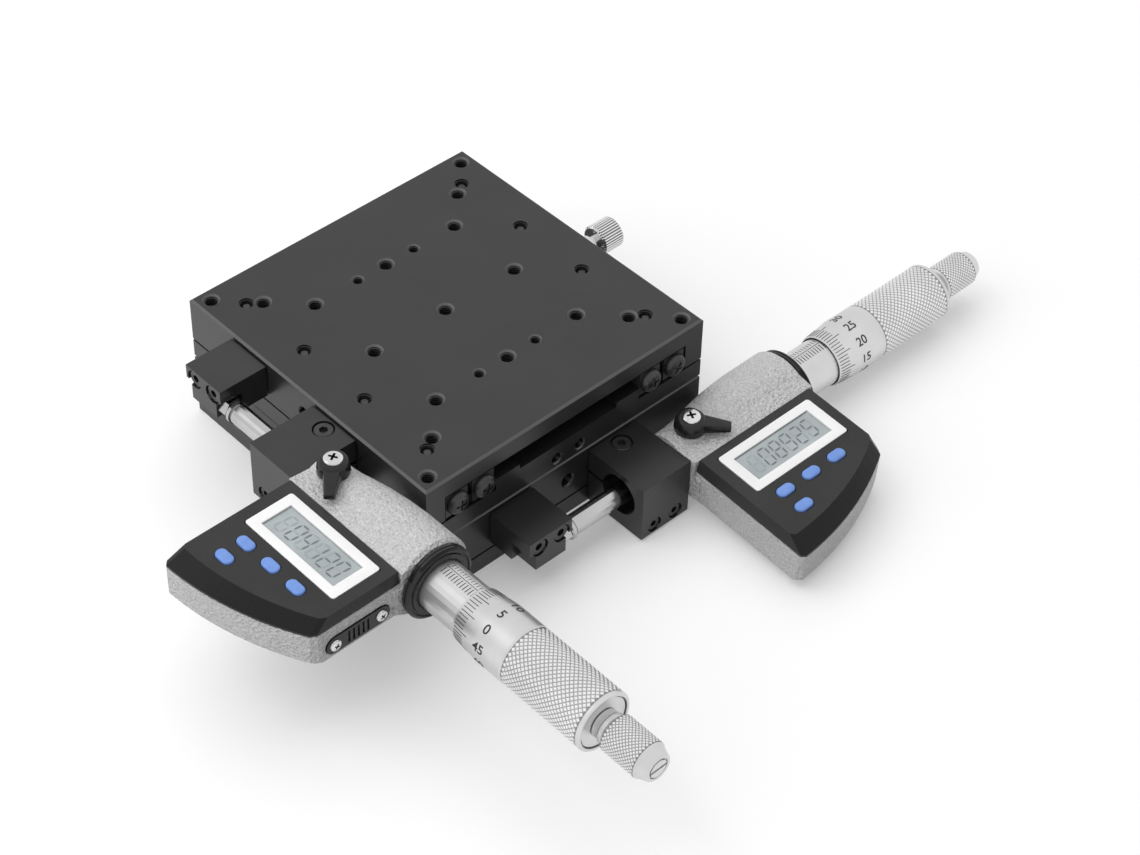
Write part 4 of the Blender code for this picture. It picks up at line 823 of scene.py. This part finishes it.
# %% Sleeve scale
SLEEVE_RADIUS = 0.0090
LINE_TURN = math.radians(10)
LINE_START = 0.0617
LINE_END = 0.0893
FIRST_TICK = 0.0624
TICK_PITCH = 0.00127
TICKS = 22
line_y = LINE_TURN * SLEEVE_RADIUS
marks = [flat_mark((LINE_START + LINE_END) / 2, line_y, LINE_END - LINE_START, 0.00020, 1)]
for i in range(TICKS):
    x = FIRST_TICK + i * TICK_PITCH
    marks.append(flat_mark(x, line_y - 0.0021, 0.00026, 0.0028, 4))
    if i < TICKS - 1:
        marks.append(flat_mark(x + TICK_PITCH / 2, line_y + 0.0018, 0.00016, 0.0018, 3))
sleeve_scale = wrap(join(marks, "x_sleeve_scale"), lambda x: SLEEVE_RADIUS + INK_LIFT)
for axis, piece in for_both_heads(sleeve_scale, "sleeve_scale").items():
    settle(piece, HEAD_PLACES[axis], scale_ink, HEAD_BODIES[axis], 60)

# %% [markdown]
# The thimble carries fifty ticks, with a longer one and a number at every fifth. The drawing is made
# once with its zero on top. Each thimble then stands at its own turn, as somebody left it.

# %% Thimble scale
DIVISIONS = 50
NUMBERED = 5
MARK_START = 0.0775
MARK_WIDTH = 0.00024
LONG_MARK = 0.0062
SHORT_MARK = 0.0042
NUMBER_PLACE = 0.0895
NUMBER_SIZE = 0.0047
ZERO_TURN = {"x": math.radians(185), "y": math.radians(39)}


def cone_radius(x):
    """The thimble's outer radius at a place along the head."""
    share = min(max((x - THIMBLE_START) / (CONE_END - THIMBLE_START), 0), 1)
    return EDGE_RADIUS + (THIMBLE_RADIUS - EDGE_RADIUS) * share + INK_LIFT


marks = []
numbers = []
for i in range(DIVISIONS):
    turn = 2 * math.pi * i / DIVISIONS
    length = SHORT_MARK if i % NUMBERED else LONG_MARK
    mark = flat_mark(MARK_START + length / 2, 0, length, MARK_WIDTH, 1)
    for vertex in mark.data.vertices:
        vertex.co.y += turn * cone_radius(vertex.co.x)
    marks.append(mark)
    if i % NUMBERED == 0:
        numbers.append(flat_number(str(i), NUMBER_PLACE, turn * THIMBLE_RADIUS, NUMBER_SIZE))
thimble_scale = wrap(join(marks + numbers, "x_thimble_scale"), cone_radius)
for axis, piece in for_both_heads(thimble_scale, "thimble_scale").items():
    turned_in_place = Matrix.Rotation(ZERO_TURN[axis], 4, "X")
    settle(piece, HEAD_PLACES[axis] @ turned_in_place, scale_ink, f"{axis}_thimble", 60)

# %% [markdown]
# ## Display digits
# A seven-segment display shows its resting segments faintly. Each segment is a bar with pointed ends,
# made from a six-sided disc. A digit is the list of its lit bars, and digits are laid side by side, a
# little leaning, right above the pane. Each display shows another reading.

# %% Display digits
DIGIT_HEIGHT = 0.0074
DIGIT_WIDTH = 0.0034
DIGIT_PITCH = 0.0052
DISPLAY_CENTRE = (0.02905, 0.0259)
DISPLAY_TOP = 0.01074
SEGMENT_WIDTH = 0.00066
half_w, half_h = DIGIT_WIDTH / 2, DIGIT_HEIGHT / 2
SEGMENTS = {
    "top": (0, half_h, 0), "middle": (0, 0, 0), "bottom": (0, -half_h, 0),
    "upper_left": (-half_w, half_h / 2, 1), "upper_right": (half_w, half_h / 2, 1),
    "lower_left": (-half_w, -half_h / 2, 1), "lower_right": (half_w, -half_h / 2, 1),
}
LIT = {
    "0": "top upper_left upper_right lower_left lower_right bottom",
    "1": "upper_right lower_right",
    "2": "top upper_right middle lower_left bottom",
    "4": "upper_left upper_right middle lower_right",
    "5": "top upper_left middle lower_right bottom",
    "8": "top upper_left upper_right middle lower_left lower_right bottom",
    "9": "top upper_left upper_right middle lower_right bottom",
    " ": "",
}
READINGS = {"x": " 08925", "y": " 04120"}


def segment(x, y, upright):
    """One pointed bar of a digit, leaning with the digit."""
    deselect()
    bpy.ops.mesh.primitive_circle_add(vertices=6, radius=1, fill_type="NGON")
    bar = bpy.context.object
    length = (DIGIT_HEIGHT / 2 if upright else DIGIT_WIDTH) * 0.45
    stretch = Matrix.Diagonal((length, SEGMENT_WIDTH / 2 / 0.866, 1, 1))
    turn = Matrix.Rotation(math.radians(90 if upright else 0), 4, "Z")
    lean = Matrix(((1, 0.10, 0, 0), (0, 1, 0, 0), (0, 0, 1, 0), (0, 0, 0, 1)))
    first = Matrix.Rotation(math.radians(30), 4, "Z")
    bar.data.transform(lean @ Matrix.Translation((x, y, 0)) @ turn @ stretch @ first)
    return bar


def display_digits(name, reading, wanted):
    """All bars that are lit, or all that rest, as one thin piece above the display."""
    bars = []
    for place, digit in enumerate(reading):
        shift = (place - (len(reading) - 1) / 2) * DIGIT_PITCH
        for label, (x, y, upright) in SEGMENTS.items():
            if (label in LIT[digit].split()) == wanted:
                bar = segment(x, y, upright)
                bar.data.transform(Matrix.Translation((DISPLAY_CENTRE[0] + shift, -DISPLAY_CENTRE[1],
                                                       DISPLAY_TOP)))
                bars.append(bar)
    piece = join(bars, name)
    apply_modifier(piece, "SOLIDIFY", thickness=0.00003, offset=0)
    return piece


for axis, reading in READINGS.items():
    for wanted, ink, label in ((True, digit_ink, "digits"), (False, ghost_ink, "resting_segments")):
        piece = display_digits(f"{axis}_display_{label}", reading, wanted)
        settle(piece, HEAD_PLACES[axis], ink, HEAD_BODIES[axis], 30)

# %% [markdown]
# ## Keys
# The keys are small slot-shaped caps with a rounded upper edge, moulded in blue. A circle whose halves
# are moved apart gives the slot shape. It is extruded up, and a bevel rounds the edge.

# %% Keys
KEY_LENGTH = 0.0073
KEY_WIDTH = 0.0043
KEY_TOP = 0.0119
KEY_FLOOR = 0.0099
KEY_PLACES = [(0.01475, 0.0408), (0.02713, 0.0408), (0.03951, 0.0408), (0.01475, 0.0492)]
deselect()
bpy.ops.mesh.primitive_circle_add(vertices=32, radius=KEY_WIDTH / 2, fill_type="NGON")
key = bpy.context.object
bpy.ops.object.mode_set(mode="EDIT")
mesh = bmesh.from_edit_mesh(key.data)
for side in (-1, 1):
    bpy.ops.mesh.select_all(action="DESELECT")
    for vertex in mesh.verts:
        vertex.select_set(vertex.co.x * side > 0.00001)
    bmesh.update_edit_mesh(key.data)
    bpy.ops.transform.translate(value=(side * (KEY_LENGTH - KEY_WIDTH) / 2, 0, 0))
bpy.ops.mesh.select_all(action="SELECT")
bpy.ops.mesh.extrude_region_move(TRANSFORM_OT_translate={"value": (0, 0, KEY_TOP - KEY_FLOOR)})
bpy.ops.mesh.select_all(action="SELECT")
bpy.ops.mesh.normals_make_consistent(inside=False)
bpy.ops.object.mode_set(mode="OBJECT")
apply_modifier(key, "BEVEL", width=0.0007, segments=4, limit_method="ANGLE",
               angle_limit=math.radians(60))
for axis in AXES:
    for number, (along, out) in enumerate(KEY_PLACES, 1):
        cap = copy_of(key, f"{axis}_key_cap_{number}")
        cap.data.transform(Matrix.Translation((along, -out, KEY_FLOOR)))
        settle(cap, HEAD_PLACES[axis], key_blue, f"{axis}_key_{number}", 40)
        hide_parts(f"{axis}_button_{number}")
bpy.data.objects.remove(key)

# %% [markdown]
# ## Display frames
# The white frame lies on the cover with a thin lip that hides the joint round it. Its corners are round
# and its edges are soft. A circle with its quarters moved apart gives the outline.

# %% Display frames
LIP_LENGTH = 0.0441
LIP_WIDTH = 0.0191
LIP_CORNER = 0.0011
LIP_FLOOR = 0.01112
LIP_TOP = 0.01146
LIP_CENTRE = (0.0290, -0.0259)
OPENING = (0.0358, 0.0120)
deselect()
bpy.ops.mesh.primitive_circle_add(vertices=32, radius=LIP_CORNER, fill_type="NGON",
                                  rotation=(0, 0, math.pi / 32))
lip = bpy.context.object
bpy.ops.object.transform_apply(location=True, rotation=True, scale=True)
for vertex in lip.data.vertices:
    vertex.co.x += math.copysign(LIP_LENGTH / 2 - LIP_CORNER, vertex.co.x)
    vertex.co.y += math.copysign(LIP_WIDTH / 2 - LIP_CORNER, vertex.co.y)
bpy.ops.object.mode_set(mode="EDIT")
bpy.ops.mesh.select_all(action="SELECT")
bpy.ops.mesh.extrude_region_move(TRANSFORM_OT_translate={"value": (0, 0, LIP_TOP - LIP_FLOOR)})
bpy.ops.mesh.select_all(action="SELECT")
bpy.ops.mesh.normals_make_consistent(inside=False)
bpy.ops.object.mode_set(mode="OBJECT")
deselect()
bpy.ops.mesh.primitive_cube_add(size=1)
cutter = bpy.context.object
cutter.data.transform(Matrix.Diagonal((*OPENING, 0.01, 1)))
combine(lip, cutter)
apply_modifier(lip, "BEVEL", width=0.00014, segments=3, limit_method="ANGLE",
               angle_limit=math.radians(50))
for axis, piece in for_both_heads(lip, "display_frame_lip").items():
    settle(piece, HEAD_PLACES[axis] @ Matrix.Translation((*LIP_CENTRE, LIP_FLOOR)), frame_white,
           HEAD_BODIES[axis], 40)

# %% [markdown]
# ## Cross-recessed screws
# Pan-head screws hold the end plates of the guides, and smaller ones hold the battery hatch and the
# lever. The head is turned as a low dome, and the cross is cut by two crossed blades that narrow
# towards the floor of the recess.


# %% Cross-recessed screw heads
def cross_head(name, radius, height, recess, blade):
    """A domed head along +X from its seat at the origin, with a cross recess of a given depth."""
    dome = [
        (0, radius * 0.97), (height * 0.12, radius), (height * 0.45, radius * 0.97),
        (height * 0.72, radius * 0.86), (height * 0.90, radius * 0.66), (height * 0.98, radius * 0.40),
        (height, radius * 0.15),
    ]
    head = lathe(name, dome, 40)
    for turn in (45, 135):
        deselect()
        bpy.ops.mesh.primitive_cube_add(size=1, location=(height, 0, 0))
        cutter = bpy.context.object
        cutter.data.transform(Matrix.Diagonal((recess * 2, radius * 1.30, blade, 1)))
        for vertex in cutter.data.vertices:
            if vertex.co.x < 0:
                vertex.co.y *= 0.55
                vertex.co.z *= 0.6
        cutter.data.transform(Matrix.Rotation(math.radians(turn), 4, "X"))
        bpy.ops.object.transform_apply(location=True, rotation=True, scale=True)
        combine(head, cutter)
    head.data.materials.clear()
    head.data.materials.append(plated)
    head.data.materials.append(recess_shade_paint)
    # Faces inside the cross take the second slot, whose finish is painted shade.
    for face in head.data.polygons:
        inside = off_axis(face.center) < radius * 0.66
        if inside and (face.normal.x < 0.6 or face.center.x < height - recess + 0.00001):
            face.material_index = 1
    return head


# %% [markdown]
# The guides' screws sit in a row at both ends of every rail. The dome closes over the plain head of
# the CAD model, and every screw stopped at its own angle when it was tightened.

# %% Guide end screws
RAIL_FACE = 0.0621
RAIL_MIDDLE = 0.012675
RAIL_OFFSETS = {"fixed": 0.0378, "moving": 0.0492}
guide_head = cross_head("guide_screw", 0.00446, 0.0026, 0.0011, 0.0011)
BODY_OF_RAIL = {("x", "fixed"): "base", ("x", "moving"): "saddle",
                ("y", "fixed"): "saddle", ("y", "moving"): "table"}
turns = [12, -25, 40, 8, -38, 20, 33, -8, 15, -30, 27, 3, -17, 36, -4, 22]
for axis in AXES:
    for kind, offset in RAIL_OFFSETS.items():
        copies = []
        for side in (-1, 1):
            for end in (-1, 1):
                twin = copy_of(guide_head, "guide_screw_copy")
                turn = Matrix.Rotation(math.radians(turns.pop()), 4, "X")
                flip = Matrix.Rotation(math.radians(180 if end < 0 else 0), 4, "Z")
                place = Matrix.Translation((end * RAIL_FACE, side * offset, RAIL_MIDDLE))
                twin.data.transform(place @ flip @ turn)
                copies.append(twin)
        heads = join(copies, f"{axis}_{kind}_guide_screws")
        settle(heads, STAGE_PLACES[axis], black_screw, BODY_OF_RAIL[axis, kind], 35,
               grip_material=recess_shade_paint)
bpy.data.objects.remove(guide_head)

# %% [markdown]
# ## Levers
# The small lever has a turned hub whose shoulder is rounded, and a tapered arm with soft edges that
# grows out of it. The arm is a block with one end drawn in, joined to the hub in one body.

# %% Levers
upright = Matrix.Rotation(math.radians(-90), 4, "Y")
LEVER_X, LEVER_Y = 0.009, -0.0008
LEVER_SEAT = 0.0125
LEVER_SCREW_SEAT = 0.0177
LEVER_TURN = Matrix.Rotation(math.radians(-45), 4, "Z")
LEVER_PLACE = Matrix.Translation((LEVER_X, LEVER_Y, LEVER_SEAT)) @ LEVER_TURN
lever = lathe("x_lever_shaped", [
    (0, 0.0053), (0.0002, 0.0056), (0.0018, 0.0056), (0.0034, 0.0054), (0.0045, 0.0050),
    (0.0050, 0.0046), (0.0052, 0.0042), (0.0052, 0.0034),
], 48)
lever.data.transform(upright)
deselect()
bpy.ops.mesh.primitive_cube_add(size=1)
arm = bpy.context.object
for vertex in arm.data.vertices:
    outer, upper = vertex.co.x > 0, vertex.co.z > 0
    half = (0.0019 if outer else 0.0035) * (0.8 if upper else 1)
    vertex.co = (0.0140 if outer else 0.0030, math.copysign(half, vertex.co.y),
                 (0.0031 if outer else 0.0045) if upper else 0.0007)
apply_modifier(arm, "BEVEL", width=0.0005, segments=3)
combine(lever, arm, "UNION")
for axis, piece in for_both_heads(lever, "lever_shaped").items():
    settle(piece, HEAD_PLACES[axis] @ LEVER_PLACE, lever_black, f"{axis}_lever", 40)
    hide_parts(f"{axis}_lock_lever")

# %% [markdown]
# The lever's screw and the hatch's two small screws are plated and bright.

# %% Lever and hatch screws
lever_head = cross_head("x_lever_screw", 0.00335, 0.0011, 0.0009, 0.0011)
for axis, piece in for_both_heads(lever_head, "lever_screw").items():
    place = Matrix.Translation((LEVER_X, LEVER_Y, LEVER_SCREW_SEAT))
    turn = Matrix.Rotation(math.radians({"x": 20, "y": -15}[axis]), 4, "Z")
    settle(piece, HEAD_PLACES[axis] @ place @ turn @ upright, plated, f"{axis}_lever",
           35, grip_material=recess_shade_paint)

hatch_head = cross_head("x_hatch_screws", 0.00215, 0.0009, 0.0006, 0.0007)
other_head = copy_of(hatch_head, "other_hatch_screw")
for piece, side, turn in ((hatch_head, -1, 20), (other_head, 1, -12)):
    piece.data.transform(Matrix.Translation((0.0565, -0.0302 + side * 0.0092, -0.0019))
                         @ Matrix.Rotation(math.radians(turn), 4, "X"))
hatch_screws = join([hatch_head, other_head], "x_hatch_screws")
for axis, piece in for_both_heads(hatch_screws, "hatch_screws").items():
    settle(piece, HEAD_PLACES[axis], plated, HEAD_BODIES[axis], 35,
           grip_material=recess_shade_paint)

# %% [markdown]
# ## Ring nuts
# The black ring that closes the casting's mouth is turned, with two grooves round its rim and a stepped
# face, so that its edge catches the light in thin lines.

# %% Ring nuts
RING_START = 0.0573
RING_END = 0.0603
RING_BORE = 0.0093
RING_RADIUS = 0.0135
ring_profile = [
    (RING_START, RING_BORE), (RING_START, RING_RADIUS - 0.0004), (RING_START + 0.0003, RING_RADIUS),
    (RING_START + 0.0010, RING_RADIUS), (RING_START + 0.0011, RING_RADIUS - 0.0003),
    (RING_START + 0.0015, RING_RADIUS - 0.0003), (RING_START + 0.0016, RING_RADIUS),
    (RING_END - 0.0009, RING_RADIUS), (RING_END - 0.0002, RING_RADIUS - 0.0008),
    (RING_END - 0.0002, RING_RADIUS - 0.0014), (RING_END - 0.0005, RING_RADIUS - 0.0016),
    (RING_END - 0.0005, RING_RADIUS - 0.0021), (RING_END, RING_RADIUS - 0.0023),
    (RING_END, RING_BORE + 0.0004), (RING_END - 0.0003, RING_BORE), (RING_START, RING_BORE),
]
ring = lathe("x_ring_nut_turned", ring_profile, 72, closed_ring=True)
for axis, piece in for_both_heads(ring, "ring_nut_turned").items():
    settle(piece, HEAD_PLACES[axis], cover_black, HEAD_BODIES[axis], 25)
    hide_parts(f"{axis}_ring_nut")

# %% [markdown]
# ## Socket heads
# The blocks are held by sunk socket screws. Their heads stand a little back in their bores, with a
# turned chamfer round the edge and a hexagonal socket. The head is turned as a thin cap, and the socket
# is cut with a six-sided prism.

# %% Socket heads
SOCKET_PITCH = 0.0098
SINK = 0.00055
SEATS = {"x": 0.0315, "y": 0.0276}
STOP_DISTANCES = {"x": 0.0480, "y": 0.0472}
STOP_HALF = 0.0094
HOLDER_HALF = 0.011
CARRIERS = {"x": {"stop": "saddle", "holder": "base"}, "y": {"stop": "table", "holder": "saddle"}}
BLOCKS = {
    "stop": {"front": -0.0823, "height": 0.0201, "radius": 0.0032},
    "holder": {"front": -0.0893, "height": 0.0045, "radius": 0.0027},
}


def socket_head(name, radius):
    """A thin socket head with its face at the origin, looking along +X."""
    cap = lathe(name, [
        (-0.0004, radius - 0.0002), (-0.0004, radius), (-radius * 0.10, radius), (0, radius * 0.92),
        (0, radius * 0.72), (-0.0001, radius * 0.68), (-0.0001, radius * 0.62),
    ], 36)
    deselect()
    bpy.ops.mesh.primitive_cylinder_add(vertices=6, radius=radius * 0.50, depth=0.004,
                                        rotation=(0, math.pi / 2, 0))
    combine(cap, bpy.context.object)
    return cap


for axis in AXES:
    middles = {"stop": SEATS[axis] - STOP_DISTANCES[axis] - STOP_HALF, "holder": SEATS[axis] - HOLDER_HALF}
    for label, block in BLOCKS.items():
        heads = []
        for side in (-1, 1):
            head = socket_head("socket_head", block["radius"])
            along = middles[label] + side * SOCKET_PITCH / 2
            place = Matrix.Translation((along, block["front"] + SINK, block["height"]))
            head.data.transform(place @ Matrix.Rotation(math.radians(-90), 4, "Z"))
            heads.append(head)
        settle(join(heads, f"{axis}_{label}_socket_heads"), STAGE_PLACES[axis], black_screw,
               CARRIERS[axis][label], 30)

# %% [markdown]
# ## Threads in the table
# Looking into a tapped hole one sees the thread's crests as fine rings. Each thread is a ring with flat
# crests inside, copied into every tapped hole of the table. The eight sunk seats over the rails are
# tapped too, and the end of a rail screw stands in each.

# %% Threads
TABLE_TOP = 0.0520
HOLE_STEP = 0.03175
CLOSE_STEP = 0.0127
CORNER_HOLES = (0.04445, 0.05715)
SEAT_ROWS = (0.0159, 0.0477)
CREST_HALF = 0.22
FLANK_END = 0.32
THREAD_WALL = 0.0002


def thread(name, bore, crest, pitch, turns, start):
    """A ring with thread crests inside, along +X from a start depth."""
    profile = [(start, bore)]
    for i in range(turns):
        at = start + (i + 0.5) * pitch
        profile += [(at - pitch * FLANK_END, bore), (at - pitch * CREST_HALF, crest),
                    (at + pitch * CREST_HALF, crest), (at + pitch * FLANK_END, bore)]
    end = start + turns * pitch
    profile += [(end, bore + THREAD_WALL), (start, bore + THREAD_WALL), (start, bore)]
    return lathe(name, profile, 28, closed_ring=True)


def mirrored(x, y):
    """A place on the table and its mirror images, four in all."""
    return [(i * x, j * y) for i in (-1, 1) for j in (-1, 1)]


def sink_copies(original, places):
    """Copies of a piece, which points along +X, turned down into the table at each place."""
    down = Matrix.Rotation(math.radians(90), 4, "Y")
    copies = []
    for x, y in places:
        twin = copy_of(original, "sunk_copy")
        twin.data.transform(Matrix.Translation((x, y, TABLE_TOP)) @ down)
        copies.append(twin)
    bpy.data.objects.remove(original)
    return copies


grid = [(i * HOLE_STEP, j * HOLE_STEP) for i in (-1, 0, 1) for j in (-1, 0, 1)]
corners = [place for d in CORNER_HOLES for place in mirrored(d, d)]
small = mirrored(CLOSE_STEP, HOLE_STEP)
seats = [place for row in SEAT_ROWS for place in mirrored(RAIL_OFFSETS["moving"], row)]
copies = sink_copies(thread("coarse_thread", 0.00248, 0.00215, 0.0010, 5, 0.0009), grid + corners)
copies += sink_copies(thread("fine_thread", 0.00183, 0.00158, 0.0008, 6, 0.0007), small)
copies += sink_copies(thread("seat_thread", 0.00268, 0.00235, 0.0009, 3, 0.0005), seats)
screw_end = lathe("screw_end", [(0.0036, 0.00142), (0.0016, 0.00142), (0.0014, 0.00122)], 28)
screw_ends = join(sink_copies(screw_end, seats), "table_screw_ends")
settle(screw_ends, Matrix.Identity(4), rail_steel, "table", 30)
threads = join(copies, "table_threads")
settle(threads, Matrix.Identity(4), thread_black, "table", 30)
print("threads:", len(grid + corners + small + seats), "faces:", len(threads.data.polygons))
